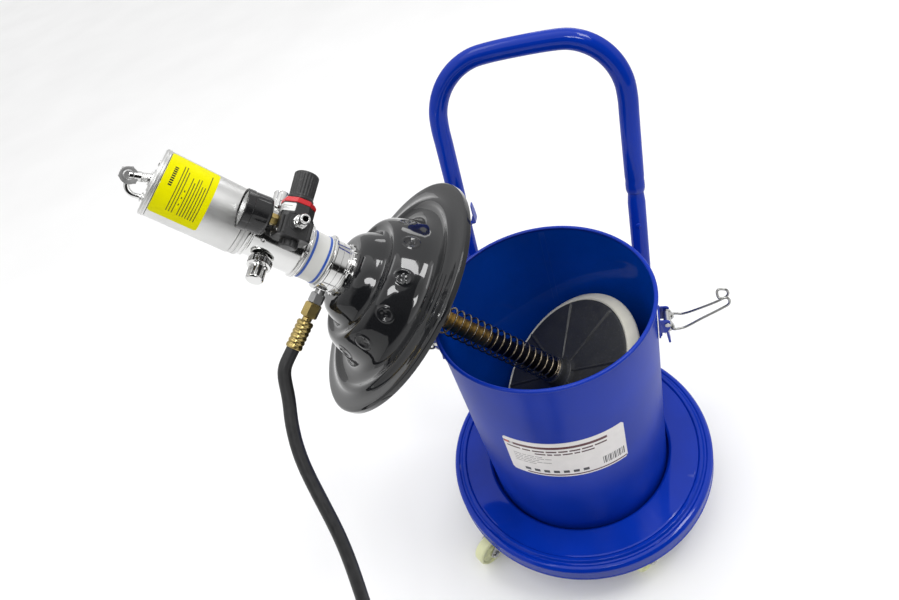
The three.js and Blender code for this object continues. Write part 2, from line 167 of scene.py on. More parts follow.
def lathe(prof, seg=96, closed=False, mod=None, phase=0.0):
    """Turns [radius, height] about Z. mod(r, z, angle) may give a new (r, z)."""
    v, rows = [], []
    for r, z in prof:
        if abs(r) < 1e-9:
            rows.append([len(v)] * seg)
            v.append((0, 0, z))
            continue
        row = []
        for k in range(seg):
            a = 2 * math.pi * (k + phase) / seg
            rr, zz = mod(r, z, a) if mod else (r, z)
            row.append(len(v))
            v.append((rr * math.cos(a), rr * math.sin(a), zz))
        rows.append(row)
    if closed:
        rows.append(rows[0])
    f = []
    for p, q in zip(rows, rows[1:]):
        for k in range(seg):
            j = (k + 1) % seg
            face = [p[k], p[j], q[j], q[k]]
            u = []
            for i in face:
                if i not in u:
                    u.append(i)
            if len(u) > 2:
                f.append(tuple(u))
    return np.array(v, float), f


def turned(pts, r=0.5, seg=64, closed=True, mod=None, n=3):
    return lathe(soften(pts, r, n, closed), seg, closed, mod)


def rod(r, z0, z1, ch=0.4, seg=48):
    return lathe([(0, z0), *soften([(0, z0), (r, z0, ch), (r, z1, ch), (0, z1)], 0, 2)[1:-1], (0, z1)], seg)


def pipe(r0, r1, z0, z1, ch=0.3, seg=64):
    return turned([(r0, z0), (r1, z0), (r1, z1), (r0, z1)], ch, seg, True, n=2)


def hexa(af, z0, z1, bore=0.0, ch=1.0, seg=72):
    """Hexagon with turned chamfers on its corners."""
    R = af / math.sqrt(3)

    def hx(r, z, a):
        m = math.cos(math.pi / 6) / math.cos((a % (math.pi / 3)) - math.pi / 6)
        return (min(r, R * m) if r > af / 2 - 0.6 else r), z

    top, low = af / 2 - 0.4, af / 2 - 0.4
    prof = [(top, z1), (af / 2 + 0.2, z1 - ch * 0.25), (R * 1.02, z1 - ch), (R * 1.02, z0 + ch), (af / 2 + 0.2, z0 + ch * 0.25), (low, z0)]
    prof = prof[::-1]
    if bore:
        prof = [(bore, z0), *prof, (bore, z1)]
        return lathe(prof, seg, True, hx)
    return lathe([(0, z0), *prof, (0, z1)], seg, False, hx)


def catmull(pts, per=10):
    """Centripetal Catmull-Rom through the points."""
    p = np.array(pts, float)
    p = np.vstack([2 * p[0] - p[1], p, 2 * p[-1] - p[-2]])
    out = []
    for i in range(1, len(p) - 2):
        a, b, c, d = p[i - 1 : i + 3]
        t0 = 0.0
        t1 = t0 + max(np.linalg.norm(b - a), 1e-6) ** 0.5
        t2 = t1 + max(np.linalg.norm(c - b), 1e-6) ** 0.5
        t3 = t2 + max(np.linalg.norm(d - c), 1e-6) ** 0.5
        for t in np.linspace(t1, t2, per, endpoint=False):
            A1 = (t1 - t) / (t1 - t0) * a + (t - t0) / (t1 - t0) * b
            A2 = (t2 - t) / (t2 - t1) * b + (t - t1) / (t2 - t1) * c
            A3 = (t3 - t) / (t3 - t2) * c + (t - t2) / (t3 - t2) * d
            B1 = (t2 - t) / (t2 - t0) * A1 + (t - t0) / (t2 - t0) * A2
            B2 = (t3 - t) / (t3 - t1) * A2 + (t - t1) / (t3 - t1) * A3
            out.append((t2 - t) / (t2 - t1) * B1 + (t - t1) / (t2 - t1) * B2)
    out.append(p[-2])
    return np.array(out)


def even(pts, step):
    p = np.array(pts, float)
    s = np.concatenate([[0], np.cumsum(np.linalg.norm(np.diff(p, axis=0), axis=1))])
    n = max(2, int(round(s[-1] / step)))
    t = np.linspace(0, s[-1], n + 1)
    return np.stack([np.interp(t, s, p[:, k]) for k in range(3)], 1)


def tube(path, r, sides=16, caps=True, radius=None, dome=0.0):
    """Round bar along a path, with turning-free frames."""
    p = np.array(path, float)
    t = np.gradient(p, axis=0)
    t /= np.linalg.norm(t, axis=1)[:, None]
    u = np.cross(t[0], [0, 0, 1.0])
    if np.linalg.norm(u) < 0.1:
        u = np.cross(t[0], [0, 1.0, 0])
    u /= np.linalg.norm(u)
    v, f = [], []
    for i in range(len(p)):
        u = u - (u @ t[i]) * t[i]
        u /= np.linalg.norm(u)
        w = np.cross(t[i], u)
        rr = radius(i / (len(p) - 1)) if radius else r
        for k in range(sides):
            a = 2 * math.pi * k / sides
            v.append(p[i] + rr * (math.cos(a) * u + math.sin(a) * w))
    for i in range(len(p) - 1):
        for k in range(sides):
            j = (k + 1) % sides
            f.append((i * sides + k, i * sides + j, (i + 1) * sides + j, (i + 1) * sides + k))
    if caps:
        for i, s in ((0, -1), (len(p) - 1, 1)):
            c = len(v)
            v.append(p[i] + s * t[i] * dome)
            for k in range(sides):
                j = (k + 1) % sides
                q = (i * sides + j, i * sides + k, c)
                f.append(q if s < 0 else tuple(reversed(q)))
    return np.array(v), f


def bevel(g, width=0.4, seg=2, angle=28):
    bm = bmesh.new()
    vs = [bm.verts.new(tuple(c)) for c in g[0]]
    for q in g[1]:
        bm.faces.new([vs[i] for i in q])
    bmesh.ops.recalc_face_normals(bm, faces=bm.faces)
    edges = [e for e in bm.edges if len(e.link_faces) == 2 and e.calc_face_angle(0) > rad(angle)]
    bmesh.ops.bevel(bm, geom=edges, offset=width, segments=seg, profile=0.5, affect="EDGES", clamp_overlap=True)
    bm.verts.index_update()
    v = np.array([x.co[:] for x in bm.verts])
    f = [tuple(x.index for x in q.verts) for q in bm.faces]
    bm.free()
    return v, f


def block(x0, x1, y0, y1, z0, z1, b=0.5, seg=2):
    v = np.array([(x, y, z) for z in (z0, z1) for y in (y0, y1) for x in (x0, x1)], float)
    f = [(0, 2, 3, 1), (4, 5, 7, 6), (0, 1, 5, 4), (2, 6, 7, 3), (0, 4, 6, 2), (1, 3, 7, 5)]
    return bevel((v, f), b, seg) if b else (v, f)


def prism(outline, z0, z1, b=0.4, r=0.0, n=4):
    """Outline in XY pushed along Z, its corners rounded by r."""
    o = soften(outline, r, n, True) if r else [tuple(p[:2]) for p in outline]
    m = len(o)
    v = np.array([(x, y, z0) for x, y in o] + [(x, y, z1) for x, y in o], float)
    f = [tuple(range(m))[::-1], tuple(range(m, 2 * m))] + [(i, (i + 1) % m, m + (i + 1) % m, m + i) for i in range(m)]
    return bevel((v, f), b, 2, 40) if b else (v, f)


def side_plate(outline_xz, y0, y1, b=0.3, r=0.0):
    """Outline in XZ pushed along Y."""
    g = prism([(p[0], p[1], *p[2:]) for p in outline_xz], 0, y1 - y0, b, r)
    m = np.eye(4)
    m[:3, :3] = [[1, 0, 0], [0, 0, 1], [0, 1, 0]]
    v, f = xf(g, m)
    return v + [0, y0, 0], f


def ring_weld(c, nrm, r, w=2.2, seed=0, lumps=26, seg=120):
    """Fillet weld: a lumpy ring about an axis."""
    rng = np.random.default_rng(seed)
    ph = rng.uniform(0, 6.28, 4)
    n = np.array(nrm, float) / np.linalg.norm(nrm)
    u = np.cross(n, [1.0, 0, 0]) if abs(n[0]) < 0.9 else np.cross(n, [0, 1.0, 0])
    u /= np.linalg.norm(u)
    w2 = np.cross(n, u)
    v, f, side = [], [], 10
    for i in range(seg):
        a = 2 * math.pi * i / seg
        d = math.cos(a) * u + math.sin(a) * w2
        q = w * (1 + 0.16 * math.sin(lumps * a + ph[0]) + 0.1 * math.sin(7 * a + ph[1]))
        for k in range(side):
            b = 2 * math.pi * k / side
            v.append(np.array(c) + d * (r + q * math.cos(b)) + n * (q * math.sin(b) * 0.8))
    for i in range(seg):
        j = (i + 1) % seg
        for k in range(side):
            l = (k + 1) % side
            f.append((i * side + k, i * side + l, j * side + l, j * side + k))
    return np.array(v), f


# ------------------------------------------------------------------ materials
def lerp(a, b, t):
    return tuple(x + (y - x) * t for x, y in zip(a, b))


class Nodes:
    def __init__(self, name):
        self.m = bpy.data.materials.new(name)
        self.m.use_nodes = True
        self.t = self.m.node_tree
        self.t.nodes.clear()
        self.out = self.add("ShaderNodeOutputMaterial")
        self.bsdf = self.add("ShaderNodeBsdfPrincipled")
        self.t.links.new(self.bsdf.outputs[0], self.out.inputs[0])

    def add(self, kind, **kw):
        n = self.t.nodes.new(kind)
        for k, v in kw.items():
            setattr(n, k, v)
        return n

    def link(self, a, b):
        self.t.links.new(a, b)

    def coord(self, cad=False):
        """Place on the piece, in metres."""
        if cad:
            return self.add("ShaderNodeTexCoord").outputs["Object"]
        return self.add("ShaderNodeAttribute", attribute_name="place").outputs["Vector"]

    def scaled(self, c, s):
        n = self.add("ShaderNodeMapping")
        n.inputs["Scale"].default_value = s
        self.link(c, n.inputs["Vector"])
        return n.outputs[0]

    def noise(self, c, scale, detail=3.0, rough=0.5, distort=0.0):
        n = self.add("ShaderNodeTexNoise")
        n.inputs["Scale"].default_value = scale
        n.inputs["Detail"].default_value = detail
        n.inputs["Roughness"].default_value = rough
        n.inputs["Distortion"].default_value = distort
        self.link(c, n.inputs["Vector"])
        return n.outputs["Fac"]

    def span(self, x, a, b, c, d):
        n = self.add("ShaderNodeMapRange")
        n.inputs[1].default_value, n.inputs[2].default_value = a, b
        n.inputs[3].default_value, n.inputs[4].default_value = c, d
        self.link(x, n.inputs[0])
        return n.outputs[0]

    def mix(self, fac, a, b):
        n = self.add("ShaderNodeMix", data_type="RGBA")
        for s, x in ((n.inputs[0], fac), (n.inputs[6], a), (n.inputs[7], b)):
            if isinstance(x, (int, float)):
                s.default_value = x
            elif isinstance(x, tuple):
                s.default_value = (*x, 1)
            else:
                self.link(x, s)
        return n.outputs[2]

    def math(self, op, a, b=None):
        n = self.add("ShaderNodeMath", operation=op)
        for s, x in zip(n.inputs, (a, b)):
            if x is None:
                continue
            if isinstance(x, (int, float)):
                s.default_value = x
            else:
                self.link(x, s)
        return n.outputs[0]

    def bump(self, heights):
        """heights: [(value, strength, distance in metres)]"""
        last = None
        for h, s, d in heights:
            n = self.add("ShaderNodeBump")
            n.inputs["Strength"].default_value = s
            n.inputs["Distance"].default_value = d
            self.link(h, n.inputs["Height"])
            if last is not None:
                self.link(last, n.inputs["Normal"])
            last = n.outputs[0]
        self.link(last, self.bsdf.inputs["Normal"])
        return last

    def set(self, **kw):
        for k, v in kw.items():
            self.bsdf.inputs[k.replace("_", " ")].default_value = v


def worn(n, cad=False):
    """Share of edge wear, from the curvature of the surface."""
    g = n.add("ShaderNodeNewGeometry")
    return n.span(g.outputs["Pointiness"], 0.52, 0.62, 0.0, 1.0)


def paint(name, color, rough=0.2, coat=0.6, peel=0.05, wear=0.35, dark=0.75, cad=False, speck=0.0, spec=0.2, coat_rough=0.04):
    n = Nodes(name)
    c = n.coord(cad)
    big = n.noise(c, 9.0, 3)
    fine = n.noise(c, 260.0, 2)
    base = n.mix(n.span(big, 0.3, 0.7, 0, 1), tuple(x * dark for x in color), color)
    base = n.mix(n.math("MULTIPLY", worn(n), wear), base, lerp(color, (0.6, 0.62, 0.66), 0.35))
    if speck:
        dust = n.noise(c, 900.0, 1)
        base = n.mix(n.math("MULTIPLY", n.span(dust, 0.7, 0.78, 0, 1), speck), base, (0.5, 0.5, 0.5))
    n.link(base, n.bsdf.inputs["Base Color"])
    n.link(n.span(n.noise(c, 40.0, 4), 0.3, 0.75, rough * 0.75, rough * 1.5), n.bsdf.inputs["Roughness"])
    n.set(Coat_Weight=coat, Coat_Roughness=coat_rough, Specular_IOR_Level=spec)
    n.bump([(fine, peel, 0.0004), (n.noise(c, 70.0, 2), peel * 1.3, 0.0012)])
    return n.m


def metal(name, color, rough=0.2, lines=0.0, axis="z", scratch=0.25, dull=0.12, cad=False, cloud=0.12, aniso=0.0, dirt=0.0):
    """Bare or plated metal. lines: turning or brushing marks across the given axis."""
    n = Nodes(name)
    c = n.coord(cad)
    big = n.noise(c, 22.0, 4)
    base = n.mix(n.span(big, 0.3, 0.7, 0, 1), tuple(x * (1 - cloud) for x in color), color)
    if dirt:
        base = n.mix(n.math("MULTIPLY", n.span(n.noise(c, 60.0, 5, 0.7), 0.5, 0.75, 0, 1), dirt), base, (0.05, 0.04, 0.03))
    n.link(base, n.bsdf.inputs["Base Color"])
    s = {"z": (3, 3, 2600), "x": (2600, 3, 3), "y": (3, 2600, 3), "r": (900, 900, 4)}[axis]
    marks = n.noise(n.scaled(c, s), 1.0, 4, 0.6)
    smear = n.noise(c, 55.0, 4, 0.6)
    r = n.math("ADD", n.span(smear, 0.35, 0.75, rough, rough + dull), n.span(marks, 0.2, 0.8, 0.0, 0.12 * lines))
    n.link(r, n.bsdf.inputs["Roughness"])
    n.set(Metallic=1.0)
    if aniso:
        n.set(Anisotropic=aniso)
    n.bump([(marks, 0.10 * lines + 0.001, 0.0002), (n.noise(c, 480.0, 3), scratch * 0.05, 0.0002)])
    return n.m


def plastic(name, color, rough=0.45, grain=0.25, grain_scale=900.0, coat=0.0, cad=False, dust=0.12, dark=0.8):
    n = Nodes(name)
    c = n.coord(cad)
    base = n.mix(n.span(n.noise(c, 30.0, 3), 0.3, 0.7, 0, 1), tuple(x * dark for x in color), color)
    base = n.mix(n.math("MULTIPLY", n.span(n.noise(c, 420.0, 4, 0.7), 0.55, 0.8, 0, 1), dust), base, (0.35, 0.34, 0.32))
    base = n.mix(n.math("MULTIPLY", worn(n), 0.25), base, lerp(color, (0.5, 0.5, 0.5), 0.3))
    n.link(base, n.bsdf.inputs["Base Color"])
    n.link(n.span(n.noise(c, 80.0, 3), 0.3, 0.7, rough * 0.85, rough * 1.2), n.bsdf.inputs["Roughness"])
    n.set(Coat_Weight=coat, Coat_Roughness=0.08)
    n.bump([(n.noise(c, grain_scale, 2), grain, 0.0002)])
    return n.m


BLUE = (0.002, 0.034, 0.42)
M = {}
M["blue"] = paint("blue_paint", BLUE, 0.22, 0.5, 0.05, spec=0.0)
M["base_blue"] = paint("base_paint", BLUE, 0.22, 0.5, 0.09, spec=0.0, coat_rough=0.06)
M["drum_blue"] = paint("drum_paint", BLUE, 0.34, 0.5, 0.16, spec=0.0, coat_rough=0.30)
# painted light: the inside blue is a lightened, more cyan copy of the outside paint, standing in for light reaching
# into the drum
M["blue_in"] = paint("blue_paint_inside_lightened", (0.001, 0.070, 0.50), 0.2, 0.35, 0.06, wear=0.1, spec=0.0)
M["lid"] = paint("black_enamel", (0.011, 0.0115, 0.013), 0.10, 0.85, 0.02, wear=0.12, dark=0.85, spec=0.06)
M["chrome"] = metal("chrome_plate", (0.80, 0.80, 0.79), 0.05, 0.3, "z", 0.15, 0.05)
M["turned"] = metal("turned_steel", (0.76, 0.76, 0.75), 0.06, 0.3, "z", 0.08, 0.05)
M["polished"] = metal("polished_steel", (0.78, 0.78, 0.77), 0.06, 0.3, "z", 0.08, 0.05)
M["alu"] = metal("satin_aluminium", (0.70, 0.70, 0.69), 0.30, 0.8, "r", 0.4, 0.1)
M["cast"] = metal("die_cast_aluminium", (0.80, 0.80, 0.78), 0.34, 0.0, "z", 1.6, 0.12)
M["zinc"] = metal("zinc_plate", (0.62, 0.62, 0.60), 0.20, 0.6, "x", 0.8, 0.16, cloud=0.3)
M["wire"] = metal("bright_wire", (0.34, 0.34, 0.33), 0.16, 0.0, "x", 0.6, 0.12)
M["brass"] = metal("brass_yellow", (0.55, 0.42, 0.16), 0.20, 1.0, "x", 0.5, 0.14, cloud=0.25, dirt=0.25)
M["gold"] = metal("yellow_passivate", (0.62, 0.38, 0.10), 0.20, 1.8, "z", 0.6, 0.18, cloud=0.45, dirt=0.3)
M["oil"] = metal("oiled_tube", (0.045, 0.043, 0.045), 0.26, 1.2, "z", 0.6, 0.2, cloud=0.4)
M["bronze"] = metal("spring_wire", (0.30, 0.25, 0.18), 0.24, 0.0, "x", 0.8, 0.16, cloud=0.4)
M["steel"] = metal("plain_steel", (0.50, 0.50, 0.50), 0.28, 0.8, "z", 0.8, 0.18, cloud=0.3)
M["plastic"] = plastic("black_plastic", (0.012, 0.012, 0.013), 0.42, 0.2)
M["gloss_plastic"] = plastic("black_gloss_plastic", (0.010, 0.010, 0.011), 0.22, 0.06, dust=0.05)
M["red"] = plastic("red_plastic", (0.62, 0.004, 0.012), 0.32, 0.08, dust=0.03)
M["white"] = plastic("white_film", (0.78, 0.78, 0.75), 0.35, 0.05, dust=0.04, dark=0.95)
M["lip"] = plastic("wiper_rubber_white", (0.64, 0.62, 0.52), 0.55, 0.15, 500.0, dust=0.18, dark=0.85)
M["plate"] = plastic("black_rubber", (0.026, 0.027, 0.028), 0.48, 0.25, 700.0, dust=0.16)
M["cream"] = plastic("cream_nylon", (0.84, 0.86, 0.52), 0.42, 0.12, 600.0, dust=0.10, dark=0.9)
M["band_blue"] = plastic("blue_band", (0.02, 0.10, 0.50), 0.35, 0.04, dust=0.02, dark=0.92)
M["gasket"] = plastic("gasket_rubber", (0.02, 0.02, 0.022), 0.6, 0.2)


def hose_material():
    n = Nodes("hose_rubber")
    c = n.coord()                       # x: along the hose, y and z: around it
    sep = n.add("ShaderNodeSeparateXYZ")
    n.link(c, sep.inputs[0])
    wrap = n.noise(n.scaled(c, (1, 60, 60)), 18.0, 2)
    base = n.mix(n.span(n.noise(c, 120.0, 4), 0.3, 0.7, 0, 1), (0.010, 0.010, 0.011), (0.019, 0.019, 0.020))
    mark = n.math("LESS_THAN", n.math("ABSOLUTE", n.math("SUBTRACT", sep.outputs[2], 0.0)), 0.00055)
    side = n.math("GREATER_THAN", sep.outputs[1], 0.0)
    broken = n.span(n.noise(n.scaled(c, (1, 0, 0)), 110.0, 2), 0.47, 0.53, 0, 1)
    red = n.math("MULTIPLY", n.math("MULTIPLY", mark, side), n.math("MULTIPLY", broken, 0.75))
    base = n.mix(red, base, (0.38, 0.03, 0.03))
    n.link(base, n.bsdf.inputs["Base Color"])
    n.link(n.span(n.noise(c, 90.0, 3), 0.3, 0.7, 0.36, 0.55), n.bsdf.inputs["Roughness"])
    cloth = n.add("ShaderNodeTexWave", wave_type="BANDS", bands_direction="X")
    cloth.inputs["Scale"].default_value = 260.0
    cloth.inputs["Distortion"].default_value = 1.2
    cloth.inputs["Detail"].default_value = 2.0
    n.link(c, cloth.inputs["Vector"])
    n.bump([(cloth.outputs["Fac"], 0.25, 0.0002), (wrap, 0.1, 0.0003), (n.noise(c, 1500.0, 2), 0.2, 0.0002)])
    return n.m


M["hose"] = hose_material()


def stickers(name, paper, marks, rough=0.35, coat=0.2, spec=0.4):
    """Printed film: marks is [(x0, x1, y0, y1, colour)] in metres on the piece's flat place."""
    n = Nodes(name)
    c = n.coord()
    sep = n.add("ShaderNodeSeparateXYZ")
    n.link(c, sep.inputs[0])
    base = n.mix(n.span(n.noise(c, 60.0, 3), 0.3, 0.7, 0, 1), tuple(x * 0.93 for x in paper), paper)
    for x0, x1, y0, y1, col in marks:
        a = n.math("MULTIPLY", n.math("GREATER_THAN", sep.outputs[0], x0), n.math("LESS_THAN", sep.outputs[0], x1))
        b = n.math("MULTIPLY", n.math("GREATER_THAN", sep.outputs[1], y0), n.math("LESS_THAN", sep.outputs[1], y1))
        base = n.mix(n.math("MULTIPLY", a, b), base, col)
    n.link(base, n.bsdf.inputs["Base Color"])
    n.link(n.span(n.noise(c, 200.0, 3), 0.3, 0.7, rough * 0.8, rough * 1.2), n.bsdf.inputs["Roughness"])
    n.set(Coat_Weight=coat, Coat_Roughness=0.15, Specular_IOR_Level=spec)
    n.bump([(n.noise(c, 700.0, 2), 0.06, 0.0002)])
    return n.m


# ------------------------------------------------------------------ pieces
made = {}


def piece(name, geos, mat, body, replaces=(), T=None, sharp=32, place=None, blend=None):
    g = merge(geos) if isinstance(geos, list) else geos
    v, f = g
    loc = np.asarray(v if place is None else place, float) / 1000
    if T is not None:
        v, f = xf((v, f), T)
    co = (np.asarray(v) + ORIGIN) / 1000
    me = bpy.data.meshes.new(name)
    me.from_pydata([tuple(c) for c in co], [], [tuple(q) for q in f])
    at = me.attributes.new("place", "FLOAT_VECTOR", "POINT")
    at.data.foreach_set("vector", loc.astype(np.float32).ravel())
    me.validate()
    bm = bmesh.new()
    bm.from_mesh(me)
    bmesh.ops.remove_doubles(bm, verts=bm.verts, dist=1e-6)
    bmesh.ops.recalc_face_normals(bm, faces=bm.faces)
    bm.to_mesh(me)
    bm.free()
    me.update()
    me.polygons.foreach_set("use_smooth", [True] * len(me.polygons))
    me.set_sharp_from_angle(angle=rad(sharp))
    me.materials.append(M[mat] if isinstance(mat, str) else mat)
    ob = bpy.data.objects.new(name, me)
    bpy.context.scene.collection.objects.link(ob)
    if sharp <= 32:
        wn = ob.modifiers.new("face_weight", "WEIGHTED_NORMAL")
        wn.keep_sharp, wn.weight = True, 60
    if blend:
        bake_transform(ob)
    else:
        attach(ob, body)
    if replaces:
        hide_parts(*replaces)
    made[name] = ob
    return ob


# ------------------------------------------------------------------ camera
cam_data = bpy.data.cameras.new("camera")
cam_data.sensor_width = 36.0
cam_data.lens = 25.43
cam_data.clip_start, cam_data.clip_end = 0.01, 50
cam = bpy.data.objects.new("camera", cam_data)
bpy.context.scene.collection.objects.link(cam)
from mathutils import Matrix

_r, _u, _b = (0.92952597, -0.25196959, -0.26924487), (0.36875666, 0.63514048, 0.6786863), (0.0, -0.73014238, 0.68329503)
_c = world((-102.7161, -537.1081, 985.1587))
cam.matrix_world = Matrix([(_r[i], _u[i], _b[i], _c[i]) for i in range(3)] + [(0, 0, 0, 1)])
bpy.context.scene.camera = cam
bpy.context.scene.view_settings.view_transform = "Standard"

# ------------------------------------------------------------------ the hose, in its real length
HOSE_R = 7.5
CX, CY = -222.0, -338.0


def pump_at(r, az, z):
    p = PUMP @ rz(az) @ np.array([r, 0, z, 1.0])
    return p[:3]


run = [pump_at(r, 210, 76) for r in (99.0, 112, 126)]
run += [np.array([x, y, z + RIM_Z]) for x, y, z in (
    (-308.5, -47.5, 50), (-315.5, -66, 31), (-319.2, -82, 13.5), (-320, -99, -4.2), (-318.2, -116.5, -23),
    (-315.5, -134.5, -42), (-313, -152.5, -61.5), (-312, -170.5, -81), (-312.5, -188, -99.5), (-314, -204.5, -118),
    (-317, -226, -145), (-321, -249, -180), (-325, -270, -220), (-328, -288, -262), (-330, -303, -305),
    (-330, -322, -365), (-329.4, -338, -381), (-328.4, -350, -391.2))]


def smooth01(t):
    t = max(0.0, min(1.0, t))
    return t * t * (3 - 2 * t)


def coil_point(th):
    r = 107.1 - 1.5 * smooth01((th - 186.4) / 60)
    z = 23.0 + 13.8 * max(0.0, 1 - (th - 186.4) / 36.0) ** 3.4
    r += -15.6 * smooth01((th - 460) / 70) - 15.6 * smooth01((th - 820) / 70)
    r += 15.6 * smooth01((th - 1400) / 70) + 15.6 * smooth01((th - 1760) / 70)
    z += -15.4 * smooth01((th - 1110) / 70)
    return np.array([CX + r * math.cos(rad(th)), CY + r * math.sin(rad(th)), z])


coil = [coil_point(th) for th in np.arange(190, 2070.1, 5.0)]
XT, YT = CX + 57.6, CY - 105.6
tail = [np.array(p) for p in ((CX + 14, YT, 7.6), (CX + 32, YT, 7.6), (XT, YT, 7.7), (XT + 14, YT, 8.9), (XT + 30, YT, 12.8), (XT + 40, YT, 13.6), (XT + 50, YT, 13.7))]
line = even(catmull(np.vstack([run, coil, tail]), 5), 4.0)
for _ in range(6):
    line[1:-1] = 0.25 * line[:-2] + 0.5 * line[1:-1] + 0.25 * line[2:]
SIDES = 20
hv, hf = tube(line, HOSE_R, SIDES, dome=0.0)
s = np.concatenate([[0], np.cumsum(np.linalg.norm(np.diff(line, axis=0), axis=1))])
ang = 2 * np.pi * np.arange(SIDES) / SIDES
hp = np.stack([np.repeat(s, SIDES), np.tile(HOSE_R * np.cos(ang), len(s)), np.tile(HOSE_R * np.sin(ang), len(s))], 1)
hp = np.vstack([hp, [[s[0], 0, 0], [s[-1], 0, 0]]])
hose = piece("grease_hose", (hv, hf), "hose", None, ["hose_run", "hose_coil", "hose_tail"], place=hp,
             blend=("pump", "cart", world(pump_at(104, 210, 76)), world((-321, -249, 248))))

# grease gun on the floor, lying on its side, local +X along the grip
GUN = tr(XT + 46.6, YT, 13.7)
g_ferrule = piece("gun_swivel_ferrule", [
    xf(turned([(7.6, 0), (9.2, 0, 1), (9.2, 6), (8.7, 6.6), (8.7, 8.4), (9.2, 9), (9.2, 13), (8.7, 13.6), (8.7, 15.4), (9.2, 16), (9.2, 22, 1.5), (7.6, 22)], 0.4, 48), AX_X),
    xf(hexa(17, 21.6, 31, 5.0), AX_X)], "brass", "cart", ["gun_ferrule"], T=GUN)
flutes = lambda r, z, a: (r - 0.5 * max(0.0, math.cos(a * 12)) ** 2 if 50 < z < 102 and r > 9 else r, z)
g_body = piece("grease_gun_body", [
    xf(turned([(5, 31.4), (10.5, 31.4, 1.5), (10.5, 43, 1), (9.6, 44.5, 1), (9.6, 50), (9.6, 60), (9.6, 70), (9.6, 80), (9.6, 90), (9.6, 102), (9.6, 105, 1), (12.4, 107.5, 1), (13.2, 112, 2), (13.2, 130, 2), (11, 134, 1), (5, 134)], 0.4, 96, True, flutes), AX_X),
    block(113, 118, -21, -10, -4.2, 4.2, 0.8), block(124, 129, -21, -10, -4.2, 4.2, 0.8)], "cast", "cart", ["gun_body"], T=GUN)
g_trigger = piece("grease_gun_trigger", [
    prism([(40, -31.4, 1.5), (44, -29.6, 2), (96, -28.4, 3), (112, -28, 3), (128, -28.6, 2), (128, -31, 1), (100, -31, 3), (60, -31.6, 3)], -7.4, 7.4, 0.7, 1.0),
    prism([(110, -30.8), (128, -30.8), (126.5, -13.6, 4), (115.5, -13.6, 4)], 5.4, 7.4, 0.4, 1.0),
    prism([(110, -30.8), (128, -30.8), (126.5, -13.6, 4), (115.5, -13.6, 4)], -7.4, -5.4, 0.4, 1.0),
    xf(rod(2.3, -7.5, 7.5, 0.4, 24), tr(121, -17, 0)), xf(rod(3.6, 7.0, 7.5, 0.3, 24), tr(121, -17, 0))], "gloss_plastic", "trigger", ["gun_trigger"], T=GUN)
sp = catmull([(130.4, 0, 0), (140, 0, 0), (150, 1, 0), (168, 7, 0), (186, 18, 0), (202, 30, 0)], 10)
g_spout = piece("grease_gun_spout", [
    tube(sp, 4.4, 24),
    xf(hexa(13, 133.6, 141), AX_X),
    xf(xf(turned([(2.0, 0), (6.2, 0, 1), (7.4, 2.5, 1), (7.4, 9), (6.7, 9.6), (6.7, 11), (7.4, 11.6), (7.4, 20, 1), (5.6, 26, 1.5), (2.0, 26, 0.4)], 0.4, 48), AX_X), tr(200, 28.6, 0) @ rz(37))],
    "chrome", "cart", ["gun_spout"], T=GUN)
world(pump_at(101, 210, 76))

# ------------------------------------------------------------------ base and drum
base_prof = [(0, 72), (40, 72), (80, 72), (120, 72), (134.5, 72, 2), (137.5, 75, 2), (137.5, 89, 2), (140.6, 92, 2.5), (150, 92.1), (165, 92.1), (176.5, 92.0, 2), (178.8, 91.6, 0.8), (180.8, 94.5, 1.5), (184.8, 94.9, 1.7), (187.6, 91.7, 1.0),
             (189.8, 91.4, 0.8), (191.8, 93.3, 1.4), (195.8, 92.6, 2.6), (199.3, 88.4, 2.8), (199.6, 70.2, 0.6), (200.1, 69.6, 0.4), (200.1, 66.6, 0.4), (197.6, 66.6, 0.5), (197.6, 83.4, 3), (192.6, 89.4, 4), (165, 90.2), (141.5, 90, 2), (139.5, 88, 2), (139.5, 74, 2), (135.4, 70, 2), (100, 70), (50, 70), (0, 70)]
base = piece("cart_base", lathe(soften(base_prof, 0, 4), 240), "base_blue", "cart", ["base_pan"], sharp=30)

SEAM_AZ = 69.0
zb = RIM_Z - 2.6
drum_prof = [(0, 75.3), (60, 75.3), (129.6, 75.3, 0.8), (130.6, 72.3, 0.8), (133.6, 72.3, 1.2), (134, 76, 2), *[(134, z) for z in (100, 140, 180, 220, 260, 300, 340, 380, 405)], (134, zb - 3.4, 1.0)]
drum_prof += [(134.4 + 2.6 * math.cos(rad(a)), zb + 2.6 * math.sin(rad(a)), 0) for a in range(-80, 171, 14)]
drum_prof += [(132.7, 423.5, 1.5), *[(132.7, z) for z in (405, 380, 340, 300, 260, 220, 180, 140, 100)], (132.7, 79.5, 3), (129.0, 76.8, 3), (60, 76.8), (0, 76.8)]


def drum_form(r, z, a):
    # a rolled sheet is never quite round
    if r > 60:
        r += 0.16 * math.sin(3 * a + 0.7) * math.sin(z / 90.0) * (1 if 80 < z < 415 else 0)
    return r, z


drum = piece("drum_shell", lathe(soften(drum_prof, 0, 3), 240, False, drum_form), "drum_blue", "cart", ["drum"])
# the drum's inner faces get the lightened inside blue, painted light in place of light inside the drum
drum.data.materials.append(M["blue_in"])
for q in drum.data.polygons:
    c = np.array(q.center) * 1000 - ORIGIN
    if math.hypot(c[0], c[1]) < 133.25 and 76.5 < c[2] < RIM_Z - 3:
        q.material_index = 1


